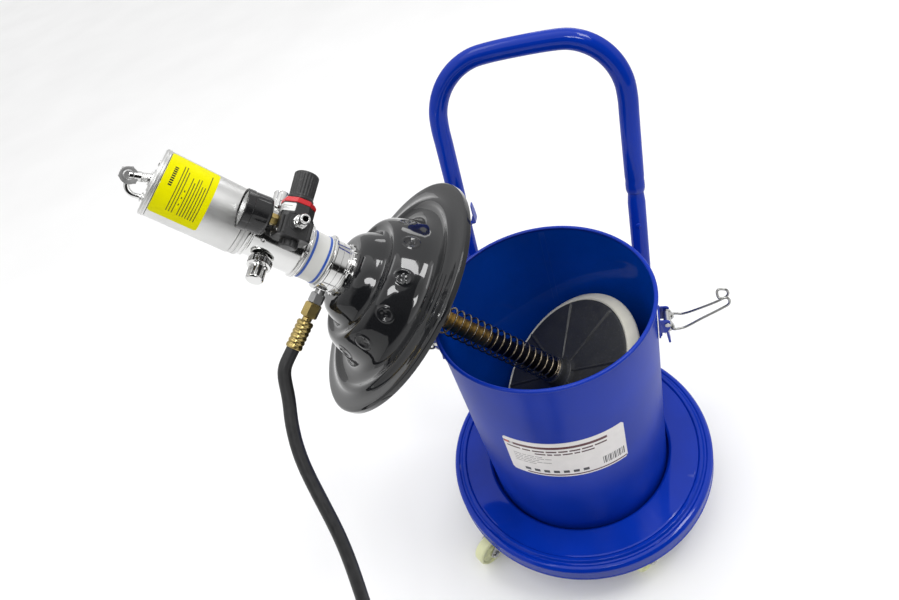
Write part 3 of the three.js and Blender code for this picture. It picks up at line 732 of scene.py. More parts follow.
def patch(r0, r1, az0, az1, z0, z1, seg=24, rows=6, corner=0.0, bulge=None):
    """Thin curved slab between two radii, as a closed body. place: (arc from the middle, height from the middle, depth)."""
    mid, hz = (az0 + az1) / 2, (z0 + z1) / 2
    half = rad(az1 - az0) / 2 * max(r0, r1)
    v, pl, f = [], [], []
    for layer, r in enumerate((r0, r1)):
        for i in range(rows + 1):
            zz = z0 + (z1 - z0) * i / rows
            inset = 0.0
            if corner:
                d = corner - min(zz - z0, z1 - zz)
                if d > 0:
                    inset = corner - math.sqrt(max(0.0, corner ** 2 - d ** 2))
            for k in range(seg + 1):
                t = -1 + 2 * k / seg
                arc = t * (half - inset)
                a = rad(mid) + arc / max(r0, r1)
                rr = r + (bulge(arc, zz) if bulge and layer else 0)
                v.append((rr * math.cos(a), rr * math.sin(a), zz))
                pl.append((arc, zz - hz, r - r0))
    n, w = (rows + 1) * (seg + 1), seg + 1
    for L in (0, 1):
        for i in range(rows):
            for k in range(seg):
                q = (L * n + i * w + k, L * n + i * w + k + 1, L * n + (i + 1) * w + k + 1, L * n + (i + 1) * w + k)
                f.append(q if L else tuple(reversed(q)))
    edge = [k for k in range(w)] + [i * w + seg for i in range(1, rows + 1)] + [rows * w + k for k in range(seg - 1, -1, -1)] + [i * w for i in range(rows - 1, 0, -1)]
    for a, b in zip(edge, edge[1:] + edge[:1]):
        f.append((a, b, b + n, a + n))
    return (np.array(v, float), f), np.array(pl, float)


seam, seam_pl = patch(132.9, 132.4, SEAM_AZ - 1.7, SEAM_AZ + 1.7, 80, 421, 8, 30)
seam2, seam2_pl = patch(133.8, 134.35, SEAM_AZ - 1.5, SEAM_AZ + 1.5, 80, 421, 8, 30)
seam_ob = piece("drum_seam", [seam, seam2], "drum_blue", "cart")
# the seam's inner faces get the lightened inside blue, painted light as on the drum
seam_ob.data.materials.append(M["blue_in"])
for q in seam_ob.data.polygons:
    c = np.array(q.center) * 1000 - ORIGIN
    if math.hypot(c[0], c[1]) < 133.3:
        q.material_index = 1

lab, lab_pl = patch(134.0, 134.22, -141, -74.5, 238, 317, 60, 20, 3)
half = rad(66.5) / 2 * 0.13422
DR = (0.16, 0.012, 0.02)
GR = (0.30, 0.29, 0.29)
DR = (0.085, 0.006, 0.012)
rows_ = [(-half + 0.0005, half - 0.024, 0.0262, 0.0312, DR), (-half + 0.0015, -half + 0.0075, 0.0262, 0.0312, (0.55, 0.05, 0.01)), (-half + 0.009, -half + 0.0135, 0.0262, 0.0312, (0.60, 0.58, 0.56)),
         (-half + 0.022, half - 0.0012, -0.0370, -0.0342, DR), (half - 0.0300, half - 0.0012, -0.0370, -0.0342, DR)]
wr = np.random.default_rng(17)


def words(x0, x1, z, h, col, w0, w1, gap):
    x = x0
    while x < x1 - w0:
        w = min(float(wr.uniform(w0, w1)), x1 - x)
        rows_.append((x, x + w, z, z + h, col))
        x += w + gap


words(-half + 0.004, half - 0.014, 0.0188, 0.0030, (0.07, 0.02, 0.02), 0.009, 0.020, 0.0022)
words(-half + 0.040, half - 0.040, 0.0126, 0.0028, (0.07, 0.02, 0.02), 0.006, 0.016, 0.0022)
for i, b in enumerate((0.052, 0.060, 0.046, 0.058, 0.040)):
    words(-half + 0.010, -half + b, 0.0062 - 0.0044 * i, 0.0012, (0.22, 0.20, 0.20), 0.005, 0.012, 0.0013)
for i in range(7):
    rows_.append((-half + 0.020 + 0.0125 * i, -half + 0.0275 + 0.0125 * i, -0.0305, -0.0245, (0.035, 0.035, 0.035)))
for i in range(14):
    w = (0.0009, 0.0016, 0.0007)[i % 3]
    rows_.append((half - 0.034 + 0.0022 * i, half - 0.034 + 0.0022 * i + w, -0.028, -0.012, (0.03, 0.03, 0.03)))
piece("drum_label", lab, stickers("drum_label_film", (0.88, 0.85, 0.83), rows_), "cart", place=lab_pl)

# ------------------------------------------------------------------ push handle
tanL = math.tan(rad(12.6))


def back_at(z):
    return 129.2 + max(0.0, z - 278) * tanL


def leg_path(s, top):
    pts = []
    for z in (94.9, 150, 210, 250, 268, 278, 288, 306, 350, 400, top):
        soft = 1.2 * (1 - abs(z - 278) / 25) if abs(z - 278) < 25 else 0
        pts.append((s * 120.2, back_at(z) + soft, z))
    return catmull(pts, 8)


def at_end(w0, w1, t0, t1=1.0):
    return lambda t: w0 if t < t0 else w1


for side, s in (("left", -1), ("right", 1)):
    path = leg_path(s, 449.0)
    leg = tube(path, 11.5, 40, radius=lambda t: 11.5 if t < 0.965 else 11.5 - 1.2 * smooth01((t - 0.965) / 0.02))
    foot = ring_weld((s * 120.2, 129.2, 93.2), (0, 0, 1), 11.8, 2.2, 3 + s)
    pin_z = 401.0
    y = back_at(pin_z)
    nrm = np.array([0, -math.cos(rad(12.6)), math.sin(rad(12.6))])
    screw = xf(xf(turned([(0, 0), (3.4, 0, 0.4), (3.4, 0.7, 0.6), (2.2, 1.7, 1.0), (0, 1.9)], 0.3, 32, False), rx(90 - 12.6)), tr(s * 120.2, y - 11.2, pin_z + 2.6))
    piece(f"handle_tube_{side}", [leg, foot, screw], "blue", "cart", [f"handle_leg_{side}"], T=HANDLE)

zc = 647.6 - 79.5
bow_pts = [(-120.2, back_at(z), z) for z in (446.2, 452, 470, 491, zc - 24)]
for i in range(7):
    a = rad(i * 15)
    z = zc + 79.5 * math.sin(a)
    bow_pts.append((-(120.2 - 79.5 + 79.5 * math.cos(a)), back_at(z), z))
bow = even(catmull(bow_pts + [(-x, y, z) for x, y, z in reversed(bow_pts)], 10), 4.0)
bl = np.concatenate([[0], np.cumsum(np.linalg.norm(np.diff(bow, axis=0), axis=1))])
bl = bl / bl[-1]


def bow_radius(t):
    e = min(t, 1 - t) * 900
    return 12.3 - 0.55 * math.exp(-(((e - 26) / 3.0) ** 2)) - 0.9 * max(0.0, 1 - e / 1.6)


piece("handle_top_bow", tube(bow, 12.3, 40, radius=bow_radius), "blue", "cart", ["handle_bow"], T=HANDLE)
hx, hy = -120.2 + 12.3 + 0.4, back_at(431)
strap = [(hy - 8, 431, 1.5), (hy + 8, 431, 1.5), (hy + 7.4, 444, 6), (hy + 4.6, 461, 3), (hy - 4.6, 461, 3), (hy - 7.4, 444, 6)]
piece("hose_hook", [
    xf(prism([(z, y, r) for y, z, r in strap], 5.7, 7.4, 0.4, 0.01), np.array([[0, 0, 1, hx], [0, 1, 0, 0], [1, 0, 0, 0], [0, 0, 0, 1.0]])),
    side_plate([(hx + 0.1, 431, 0.6), (hx + 5.8, 431, 1.5), (hx + 7.3, 432.6, 1.2), (hx + 7.3, 434.2), (hx + 5.7, 433.6, 0.8), (hx + 0.1, 433.2, 0.6)], hy - 8, hy + 8, 0.4, 0.01),
    *[tube([(hx + 0.7, hy + y, 430.6 - 0.1 * math.cos(y)) for y in np.linspace(-7.4, 7.4, 24)], 1.3, 12, dome=0.8)]], "blue", "cart", ["gun_holder"], T=HANDLE)

# ------------------------------------------------------------------ casters
for i, az in enumerate((20.8, 110.8, 200.8, 290.8), 1):
    C = tr(165 * math.cos(rad(az)), 165 * math.sin(rad(az)), 0) @ rz(205.5)
    cheek = [(-15, 62, 1.5), (15, 62, 2), (44, 31, 3), (43.5, 24, 6), (36, 16.6, 8), (28.5, 19, 6), (-13, 50, 6)]
    fork = [block(-17, 17, -14.2, 14.2, 60, 62.8, 0.8), side_plate(cheek, 11.9, 14.1, 0.5, 0.01), side_plate(cheek, -14.1, -11.9, 0.5, 0.01),
            turned([(0, 62.8), (15, 62.8, 1), (17, 64.4, 1), (17, 67.4, 1), (14.5, 68.4, 1), (0, 68.4)], 0.4, 48, False),
            turned([(0, 68), (8, 68, 0.8), (8, 85), (12, 86.4, 1), (20.8, 86.4, 0.8), (20.8, 89.2, 0.8), (0, 89.2)], 0.4, 48, False),
            xf(rod(3.9, -14.2, 14.2, 0.3, 24), tr(36, 0, 25) @ rx(90)),
            xf(hexa(10, 14.1, 17.4), tr(36, 0, 25) @ rx(90)), xf(turned([(0, 0), (6, 0, 0.5), (6, 1, 0.5), (4, 2.8, 1), (0, 3.1)], 0.3, 32, False), tr(36, 14.0, 25) @ AX_Y)]
    piece(f"caster_bracket_{i}", fork, "zinc", f"caster_{i}", [f"caster_fork_{i}"], T=C)

    def holes(r, z, a):
        if 12.5 < r < 19.7 and abs(z) < 8:
            k = max(0.0, math.cos(a * 5)) ** 4
            return r, z * (1 - 0.35 * k)
        return r, z

    wheel = lathe(soften([(4.4, -9.5, 0.4), (10, -9.5, 1), (11.6, -6.4, 1), (13, -5.9), (16, -5.9), (19.4, -5.9, 0.8), (21, -8.7, 1), (22.8, -9, 1.5), (24.9, -6.4, 2), (25, 0), (24.9, 6.4, 2), (22.8, 9, 1.5), (21, 8.7, 1),
                          (19.4, 5.9, 0.8), (16, 5.9), (13, 5.9), (11.6, 6.4, 1), (10, 9.5, 1), (4.4, 9.5, 0.4)], 0, 3, True), 120, True, holes)
    piece(f"caster_tyre_{i}", xf(wheel, rx(90)), "cream", f"wheel_{i}", [f"caster_wheel_{i}"], T=C @ tr(36, 0, 25))

# ------------------------------------------------------------------ latches
for side, az in (("right", -24.6), ("left", 159.5)):
    L = rz(az)
    Z = 373.0
    ear = [(136.2, Z - 6), (144, Z - 6, 3), (148.2, Z + 2, 4), (148.2, Z + 13, 3.5), (145, Z + 15, 3), (136.2, Z + 15)]
    rivets = [xf(turned([(0, 0), (3, 0, 0.4), (3, 0.6, 0.4), (1.8, 1.5, 0.8), (0, 1.7)], 0.3, 24, False), tr(137.1, yy, zz) @ AX_X) for yy, zz in ((-8.6, Z - 12), (8.6, Z - 12), (0, Z - 19))]
    piece(f"latch_plate_{side}", [
        xf(prism([(Z - 24, -6, 3), (Z - 24, 6, 3), (Z - 14, 13, 3), (Z + 18, 13, 3), (Z + 18, -13, 3), (Z - 14, -13, 3)], 0, 2.3, 0.4, 0.01), np.array([[0, 0, 1, 134.8], [0, 1, 0, 0], [1, 0, 0, 0], [0, 0, 0, 1.0]])),
        side_plate(ear, -12.2, -10.2, 0.4, 0.01), side_plate(ear, 10.2, 12.2, 0.4, 0.01), *rivets], "blue", "cart", [f"latch_bracket_{side}"], T=L)
    cheek = [(141, Z - 3, 2), (146, Z - 9, 2), (151, Z - 4.8, 3), (153.6, Z - 1, 3), (152, Z + 5, 3), (149, Z + 12, 2), (144, Z + 13, 3), (141.4, Z + 10, 2)]
    lever = [side_plate(cheek, -9.2, -7.4, 0.3, 0.01), side_plate(cheek, 7.4, 9.2, 0.3, 0.01),
             xf(prism([(Z - 12, -9), (Z - 12, 9), (Z + 4, 9.1), (Z + 4, -9.1)], 0, 1.6, 0.4, 0.8), np.array([[0, 0, 1, 141.2], [0, 1, 0, 0], [1, 0, 0, 0], [0, 0, 0, 1.0]])),
             xf(rod(2.0, -12.8, 12.8, 0.4, 24), tr(145, 0, Z + 8) @ rx(90)), xf(pipe(2.2, 4.2, -7.3, 7.3, 0.4, 32), tr(145, 0, Z + 8) @ rx(90)),
             xf(turned([(0, 0), (3.3, 0, 0.3), (3.3, 0.8, 0.4), (0, 1.3)], 0.3, 24, False), tr(145, 12.3, Z + 8) @ AX_Y), xf(turned([(0, 0), (3.3, 0, 0.3), (3.3, 0.8, 0.4), (0, 1.3)], 0.3, 24, False), tr(145, -12.3, Z + 8) @ rx(90))]
    piece(f"latch_toggle_{side}", lever, "zinc", f"lever_{side}", [f"latch_lever_{side}"], T=L)
    tongue = [(-1.2, -23.6, 1), (1.4, -23.6, 1), (1.6, -8), (1.2, 2.4), (-0.4, 2.4), (-1.2, -8)]
    piece(f"latch_tongue_{side}", xf(side_plate(tongue, -4.4, 4.4, 0.5, 0.01), tr(143.8, 0, Z - 11) @ ry(-8)), "blue", f"lever_{side}", T=L)
    X = 150.0
    prof = [(13, 0.5), (35, 13), (56, 26.5), (61.5, 31.5), (62.6, 37), (60.0, 42.2), (51.5, 42.8)]
    a = [(X, -5.4, Z), (X, -9.6, Z), (X + 0.6, -11.6, Z), (X + 2.4, -12.4, Z + 0.1), (X + 7, -12, Z + 0.3)]
    a += [(X + px, (-11, -8, -6.5, -6.5, -6.5, -6.5, -6.3)[k], Z + pz) for k, (px, pz) in enumerate(prof)]
    wire = catmull(a + [(p[0], -p[1], p[2]) for p in reversed(a)], 8)
    piece(f"latch_wire_{side}", tube(wire, 1.45, 16, dome=0.4), "wire", f"bail_{side}", [f"latch_bail_{side}"], T=L)

# ------------------------------------------------------------------ lid
_rng = np.random.default_rng(21)
LUMPS = [[(float(a), float(b), float(c)) for a, b, c in zip(_rng.uniform(-5.6, 4.6, 9), _rng.uniform(-5.4, 5.4, 9), _rng.choice([-0.55, 0.6, 0.75], 9))] for _ in range(12)]


def lid_form(r, z, a):
    """Pressed ovals around the slope of the dome, and the slight waviness of a deep-drawn cover."""
    if 72 < r < 97 and z > 3:
        u = (r - 84.0) * 0.39 - (z - 26.5) * 0.92
        deg = math.degrees(a) % 360
        k = int(((deg - 13 + 15) % 360) // 30)
        d = (deg - 13 + 15) % 30 - 15
        v = rad(d) * 84
        q = math.hypot(u / 8.8, v / 7.4)
        if q < 2.2:
            h = 0.75 * math.exp(-(((q - 1.0) / 0.17) ** 2)) - 0.85 * math.exp(-((q / 0.72) ** 4))
            if q < 0.95:
                for lu, lv, lh in LUMPS[k]:
                    h += lh * math.exp(-(((u - lu) ** 2 + (v - lv) ** 2) / 1.9))
            r, z = r + 0.92 * h, z + 0.39 * h
    if 40 < r < 140 and z > -1.4:
        z += 0.22 * math.sin(2 * a + 0.6) * math.sin((r - 40) / 32.0) + 0.08 * math.sin(5 * a + r / 22.0)
    return r, z


outer = [(27.4, 63.4), (33, 63.4), (38, 63.4), (42.6, 62.7), (46.2, 60.6), (49, 57.6), (51.8, 53.6), (54.2, 49), (56.3, 44.6), (58.4, 40.9), (61.4, 38.9), (65, 39.3), (69, 40.6), (72.6, 40.8),
         (75.6, 39.3), (78.4, 36.3), (81, 31.8), (83.5, 26.4), (85.9, 20.8), (88.3, 15), (90.6, 9.4), (92.8, 5.3), (95.4, 2.6), (98.6, 0.9), (103, 0.2), (108, 0.2), (112, 1.2), (115.2, 2.9), (118.6, 3.7),
         (122, 3.0), (125.4, 1.2), (129, 0.3), (134, 0), (139, 0), (142.2, -0.15)]
oc = catmull([(x, 0, z) for x, z in outer], 6)[:, [0, 2]]
tg = np.gradient(oc, axis=0)
tg /= np.linalg.norm(tg, axis=1)[:, None]
inner = oc + 1.35 * np.stack([tg[:, 1], -tg[:, 0]], 1)
inner = [p for k, p in enumerate(inner) if 28.2 < p[0] < 142.0 and k % 3 == 0]
rim_roll = soften([(142.2, -0.15), (144.3, -1.6, 1.6), (144.3, -7.4, 0.6), (142.9, -7.4, 0.6), (142.9, -2.4, 0.8), (141.6, -1.5)], 0, 4)
prof = [tuple(p) for p in oc] + rim_roll[1:-1] + [tuple(p) for p in reversed(inner)] + [(27.4, inner[0][1])]
lid = piece("lid_cover", lathe(prof, 600, True, lid_form), "lid", "pump", ["lid"], T=PUMP, sharp=50)
piece("lid_seal", turned([(130.5, -3.4), (140.6, -3.4), (140.6, -2.4), (130.5, -2.4)], 0.35, 160, True), "gasket", "pump", ["lid_gasket"], T=PUMP)

# ------------------------------------------------------------------ neck, collar, printed band, air valve
def notched(n, depth, r0, half, phase=0.0):
    def form(r, z, a):
        if r > r0:
            d = (math.degrees(a) + phase) % (360 / n) - 180 / n
            r -= depth * (1 if abs(d) < half else max(0.0, 1 - (abs(d) - half) / 1.2))
        return r, z
    return form


piece("neck_ring_nut", turned([(14.2, 60.4), (30.8, 60.4, 0.4), (31.4, 61.2, 0.4), (31.4, 65.2, 0.6), (30.0, 65.9, 0.3), (29.3, 66.2, 0.2), (29.3, 67.0, 0.2), (29.0, 67.4, 0.3), (29.0, 69.0, 0.2), (28.6, 69.2, 0.15), (28.6, 69.7, 0.15), (29.0, 69.9, 0.2), (29.0, 76.1, 0.2), (14.2, 76.1)], 0.3, 288, True,
                               notched(16, 1.5, 30.6, 4.0)), "turned", "pump", ["neck_nut"], T=PUMP, sharp=25)
piece("pump_neck_collar", [turned([(8, 76.3), (29, 76.3, 0.2), (29, 83.8, 0.4), (31.6, 84.6, 0.6), (32.2, 85.4, 0.5), (32.2, 87.4, 0.7), (31.4, 88.2, 0.4), (8, 88.2)], 0.3, 160, True)],
      "turned", "pump", ["pump_collar"], T=PUMP)
piece("outlet_housing", turned([(8, 88.5), (28.0, 88.5, 0.5), (28.0, 90.0, 0.3), (27.7, 90.4, 0.2), (27.7, 110.6, 0.2), (28.0, 111.0, 0.3), (28.0, 112.4, 0.5), (8, 112.4)], 0.3, 128, True), "white", "pump", ["outlet_body"], T=PUMP)
for k, (z0, z1) in enumerate(((90.6, 93.2), (107.8, 110.4)), 1):
    piece(f"band_stripe_{k}", pipe(27.7, 28.15, z0, z1, 0.15, 128), "band_blue", "pump", T=PUMP)
piece("air_valve_housing", [turned([(6.2, 112.7), (31.4, 112.7, 1.0), (31.4, 114.6, 0.5), (30.3, 115.0, 0.3), (30.3, 115.9, 0.3), (31.4, 116.3, 0.4), (31.4, 117.5, 0.6), (29.0, 118.3, 0.6), (29.0, 170.0, 0.6), (31.4, 170.6, 0.8), (31.4, 172.0, 0.4), (30.4, 172.4, 0.3), (30.4, 173.2, 0.3), (31.4, 173.6, 0.4), (31.4, 176, 0.8),
                                    (24.6, 176, 0.4), (24.6, 118.5, 0.4), (6.2, 118.5, 0.4)], 0.3, 160, True),
                            *[xf(turned([(0, 0), (2.6, 0, 0.3), (2.6, 1.3, 0.5), (1.4, 1.3, 0.2), (1.3, 0.3), (0, 0.3)], 0.1, 32, False), rz(a) @ tr(28.8, 0, zz) @ AX_X) for a, zz in ((285, 160), (190, 128), (100, 160))]],
      "polished", "pump", ["valve_cylinder"], T=PUMP)

# ------------------------------------------------------------------ motor
piece("motor_flange", turned([(5.6, 176.3), (33.6, 176.3, 1.0), (33.6, 180.0, 0.4), (32.9, 180.3, 0.2), (32.9, 181.1, 0.2), (33.6, 181.4, 0.4), (33.6, 184.7, 0.8), (31, 184.7, 0.2), (31, 188, 0.5), (5.6, 188)], 0.3, 160, True), "alu", "pump", ["motor_base"], T=PUMP)
tube_rows = [(34.4, z) for z in np.linspace(188, 266, 40)]
piece("motor_barrel", turned([(31.5, 185), (34.4, 185, 0.5), *tube_rows, (34.4, 268.5, 0.5), (31.5, 268.5)], 0.3, 200, True), "alu", "pump", ["motor_cylinder"], T=PUMP)
screws = [xf(turned([(0, 0), (2.9, 0, 0.4), (2.9, 1.6, 0.5), (1.6, 1.6, 0.2), (1.5, 0.4), (0, 0.4)], 0.1, 32, False), tr(26 * math.cos(rad(a)), 26 * math.sin(rad(a)), 274.3)) for a in (73, 163, 253, 343)]
piece("motor_end_cap", [turned([(0, 268.8), (35.0, 268.8, 0.8), (35.0, 270.6, 0.3), (34.5, 270.9, 0.2), (34.5, 271.4, 0.2), (35.0, 271.7, 0.3), (35.0, 273.2, 0.9), (33.4, 274.2, 0.4), (33.4, 274.5, 0.4), (12, 274.8, 0.6), (11.2, 276, 0.6), (0, 276)], 0.3, 160, False), *screws], "alu", "pump", ["motor_cap"], T=PUMP)

ylab, ylab_pl = patch(34.42, 34.62, 248, 372, 221, 268.2, 70, 24, 2.0)
hw, hh = rad(124) / 2 * 0.03462, 0.0236
INK = (0.035, 0.035, 0.02)
# the label reads along the pump: its lines run around the barrel
lines_ = [(-0.004 + 0.0024 * k, -0.0024 + 0.0024 * k, 0.0138, 0.0172, INK) for k in range(9)]
rng = np.random.default_rng(5)
for i in range(11):
    z = 0.0085 - 0.0026 * i
    if i == 3:
        lines_ += [(-0.018, -0.016, z, z + 0.0009, INK), (-0.011, -0.009, z, z + 0.0009, INK), (-0.004, -0.002, z, z + 0.0009, INK)]
        continue
    end = 0.018 + float(rng.uniform(-0.010, 0.008))
    lines_.append((-0.028, end, z, z + 0.0009, (0.13, 0.12, 0.02)))
piece("motor_label", ylab, stickers("motor_label_film", (0.82, 0.78, 0.0), lines_, 0.45, 0.0, 0.05), "pump", T=PUMP, place=ylab_pl)

EYE = PUMP @ rz(28.4)
stud_T = tr(1.0, 0, 277.2) @ ry(-18)
thread = lambda r, z, a: (r - (0.45 * (0.5 + 0.5 * math.cos(2 * math.pi * z / 1.5 - a)) if r > 4.6 and 0.8 < z < 6.5 else 0), z)
stud = lathe(soften([(0, -0.9), (4.9, -0.9, 0.2), *[(4.9, z) for z in np.linspace(-0.4, 6.6, 30)], (5.2, 7.2, 0.2), (5.2, 18, 0.6), (0, 18)], 0, 2), 64, False, thread)
bent = catmull([(-19, 0, 276.5), (-19.8, 0, 280), (-20.2, 0, 285), (-17.6, 0, 290.4), (-12.6, 0, 293.2), (-6, 0, 294)], 10)
to_view = tr(-4.8, 0, 294.2) @ rx(90)
piece("lifting_eye_loop", [xf(stud, stud_T), tube(bent, 2.7, 32, dome=0.0), xf(turned([(2.6, 0), (5.0, 0, 0.4), (5.0, 1.1, 0.5), (2.6, 1.6)], 0.2, 48, True), tr(-19, 0, 276.2)),
                           xf(pipe(5.0, 7.2, 0.1, 1.7, 0.4, 48), tr(1.0, 0, 276.0))], "chrome", "pump", ["lifting_eye"], T=EYE)
piece("lifting_eye_nut", [xf(hexa(16.5, -4.2, 3.4, 5.6, 1.4), to_view), xf(pipe(5.4, 8.6, 3.4, 4.5, 0.4, 64), to_view), xf(turned([(0, -3.6), (5.5, -3.6, 0.3), (5.5, 4.9, 0.5), (4.1, 5.3, 0.3), (3.7, 4.4, 0.2), (0, 4.3)], 0.1, 64, False), to_view)],
      "steel", "pump", T=EYE)

# ------------------------------------------------------------------ silencers
for k, az in (("front", 243), ("rear", 63)):
    S_ = PUMP @ rz(az) @ tr(0, 0, 152) @ AX_X

    def knurl(r, z, a):
        if 12.0 < r and 33.5 < z < 40.5:
            w = 0.5 - 0.5 * math.cos(a * 20)
            r -= 0.7 * w
        elif 8.9 < r < 12 and 43.5 < z < 55.5:
            w = max(0.0, math.cos(a * 6))
            r -= 1.5 * w ** 0.6
        return r, z

    body = lathe(soften([(5.2, 29.4), (6.8, 29.4, 0.3), (6.8, 31.4, 0.2), (11.8, 31.5, 0.6), (12.6, 33.4, 0.6), (12.6, 34.4), (12.6, 37), (12.6, 39.6), (12.6, 40.6, 0.8), (9.8, 41.2, 0.4), (9.2, 42.6, 0.3), (9.2, 44.4, 0.2), (9.2, 48), (9.2, 52), (9.2, 54.8, 0.2), (9.2, 56.6, 0.8), (7.6, 58, 0.8), (0, 58)], 0, 2), 240, False, knurl)
    body[0][:, 2] = np.maximum(body[0][:, 2], 29.35)
    piece(f"silencer_{k}_cap", [xf(rod(5.4, 29.35, 30.0, 0.1, 48), np.eye(4)), body], "chrome", "pump", [f"silencer_{k}"], T=S_, sharp=24)

# ------------------------------------------------------------------ grease outlet
OUT = PUMP @ rz(210) @ tr(0, 0, 76) @ AX_X
piece("outlet_elbow", [rod(5.6, 29.45, 35, 0.2, 48), hexa(15, 34.6, 46.2, 0.0, 1.4), turned([(0, 34), (6.9, 34, 0.3), (6.9, 35.2, 0.3), (0, 35.2)], 0.2, 48, False)], "steel", "pump", ["outlet_adaptor"], T=OUT)
piece("hose_swivel_nut", [hexa(17, 46.5, 63, 0.0, 1.4), turned([(0, 62.6), (7.0, 62.6, 0.4), (5.4, 64.0, 0.4), (5.4, 67.6, 0.3), (0, 67.6)], 0.3, 48, False)], "brass", "pump", ["hose_nut"], T=OUT)


def crimp(r, z, a):
    if r > 8.6 and 71.5 < z < 98:
        w = 0.5 - 0.5 * math.cos(2 * math.pi * (z - 71.5) / 5.3)
        r -= 0.85 * w ** 2 + 0.12 * max(0.0, math.cos(a * 8))
    return r, z


piece("hose_crimp_ferrule", lathe(soften([(0, 67.9), (8.0, 67.9, 0.6), (9.4, 69.8, 0.6), (9.4, 71.5), *[(9.4, z) for z in np.linspace(72, 97.6, 40)], (9.4, 100.2, 0.8), (8.6, 101, 0.4), (0, 101)], 0, 2), 120, False, crimp), "brass", "pump", ["hose_ferrule"], T=OUT, sharp=40)

# ------------------------------------------------------------------ suction tube, rod, foot valve
piece("pump_tube_upper", turned([(8.9, -148), (11.3, -148, 0.4), *[(11.3, z) for z in np.linspace(-144, 72, 30)], (11.3, 75.6, 0.4), (8.9, 75.6, 0.3)], 0.2, 96, True), "gold", "pump", ["pump_tube"], T=PUMP)
piece("pump_tube_lower", turned([(8.9, -326), (11.3, -326, 0.4), *[(11.3, z) for z in np.linspace(-322, -152, 24)], (11.3, -148.3, 0.4), (8.9, -148.3, 0.3)], 0.2, 96, True), "oil", "pump", ["lower_tube"], T=PUMP)


def foot_form(r, z, a):
    if z < -334 and r > 5.4:
        d = abs((math.degrees(a) % 90 + 45) % 90 - 45)
        if d < 13:
            z = -334 + (z + 334) * 0.15
    return r, z


piece("foot_valve_body", lathe(soften([(5, -344, 0.4), (9, -344), (13.0, -344, 0.8), (13.4, -342.5, 0.5), (13.4, -338), (13.4, -334), (13.4, -333.8), (13.4, -327.4, 0.6), (12.6, -326.4, 0.4), (8.6, -326.35, 0.1), (8.6, -318, 0.4), (5, -318, 0.3)], 0, 2, True), 144, True, foot_form), "steel", "pump", ["foot_valve"], T=PUMP, sharp=24)

# ------------------------------------------------------------------ spring, follower and its lip
n_t, z0, z1 = 25, -10.0, -260.4
sp = []
for i in range(n_t * 40 + 1):
    t = i / (n_t * 40)
    turns = t * n_t
    e = min(turns, n_t - turns)
    # closed end coils
    sp.append((turns, e))
dz = np.array([0.22 + 0.78 * smooth01((e - 0.6) / 1.0) for _, e in sp])
zz = np.concatenate([[0], np.cumsum(dz[1:])])
zz = z0 + (z1 - z0) * zz / zz[-1]
rng = np.random.default_rng(11)
lean_ = rng.uniform(0, 6.28, 3)
spv = []
for (turns, e), z in zip(sp, zz):
    a = 2 * math.pi * turns
    t = (z - z0) / (z1 - z0)
    r = 16.6 + 0.9 * math.sin(math.pi * t) - 0.0
    sway = 0.7 * math.sin(math.pi * t)
    spv.append((r * math.cos(a) + sway * math.cos(5.2), r * math.sin(a) + sway * math.sin(5.2), z))
piece("follower_coil_spring", tube(spv, 1.25, 14, dome=0.3), "bronze", None, ["follower_spring"], T=PUMP,
      blend=("pump", "follower", world((0, 0, -14.0), PUMP), world((0, 0, -257.0), PUMP)))


def fin_form(r, z, a):
    if 22 < r < 108.5 and z > -282.5:
        for k in range(8):
            d = (math.degrees(a) - 10 - 45 * k + 180) % 360 - 180
            w = rad(abs(d)) * r
            if w < 2.6:
                z = max(z, -275.6 + 2.2 * (26 - r) / 82 + (0 if w < 0.9 else -(w - 0.9) * 1.6))
    return r, z


rows = [(r, -277 - 3.1 * (r - 26) / 82) for r in np.linspace(26, 108, 26)]
piece("follower_disc", lathe(soften([(11.9, -262.0, 0.4), (19.2, -262, 0.8), (19.5, -270.5, 0.8), (21.0, -275.2, 2), *rows, (110.6, -280.7, 0.8), (110.9, -284, 0.6), (60, -284), (26, -284, 1.5), (22, -291, 1.2), (11.9, -291, 0.4)], 0, 3, True), 480, True, fin_form), "plate", "follower", ["follower_plate"], T=PUMP, sharp=30)
wiper = piece("follower_wiper", lathe(soften([(111.2, -280.9, 0.4), (113.5, -280.2, 0.8), (119.0, -283.6), (124.5, -289.2, 1.2), (124.9, -292, 0.6), (122.4, -292, 0.6), (117.4, -288.2), (111.2, -284.4, 0.4)], 0, 3, True), 200, True,
                              lambda r, z, a: (r + (0.35 * math.sin(4 * a + 1.1) if r > 118 else 0), z + (0.3 * math.sin(3 * a) if r > 118 else 0))), "lip", "follower", ["follower_lip"], T=PUMP)
tuple(PUMP[:3, :3] @ np.array([math.cos(rad(266)), math.sin(rad(266)), 0]))
world(pump_at(111, 86, -284))
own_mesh(wiper)
piece("follower_hub_clip", turned([(13.2, -261.7), (17.6, -261.7, 0.4), (17.6, -260.9, 0.3), (13.2, -260.9)], 0.2, 64, True), "steel", "follower", T=PUMP)

# ------------------------------------------------------------------ regulator and gauge
def octagon(apo, turn_=22.5):
    R = apo / math.cos(rad(22.5))
    return [(R * math.cos(rad(turn_ + 45 * k)), R * math.sin(rad(turn_ + 45 * k))) for k in range(8)]


def with_r(pts, r):
    return [(x, y, r) for x, y in pts]


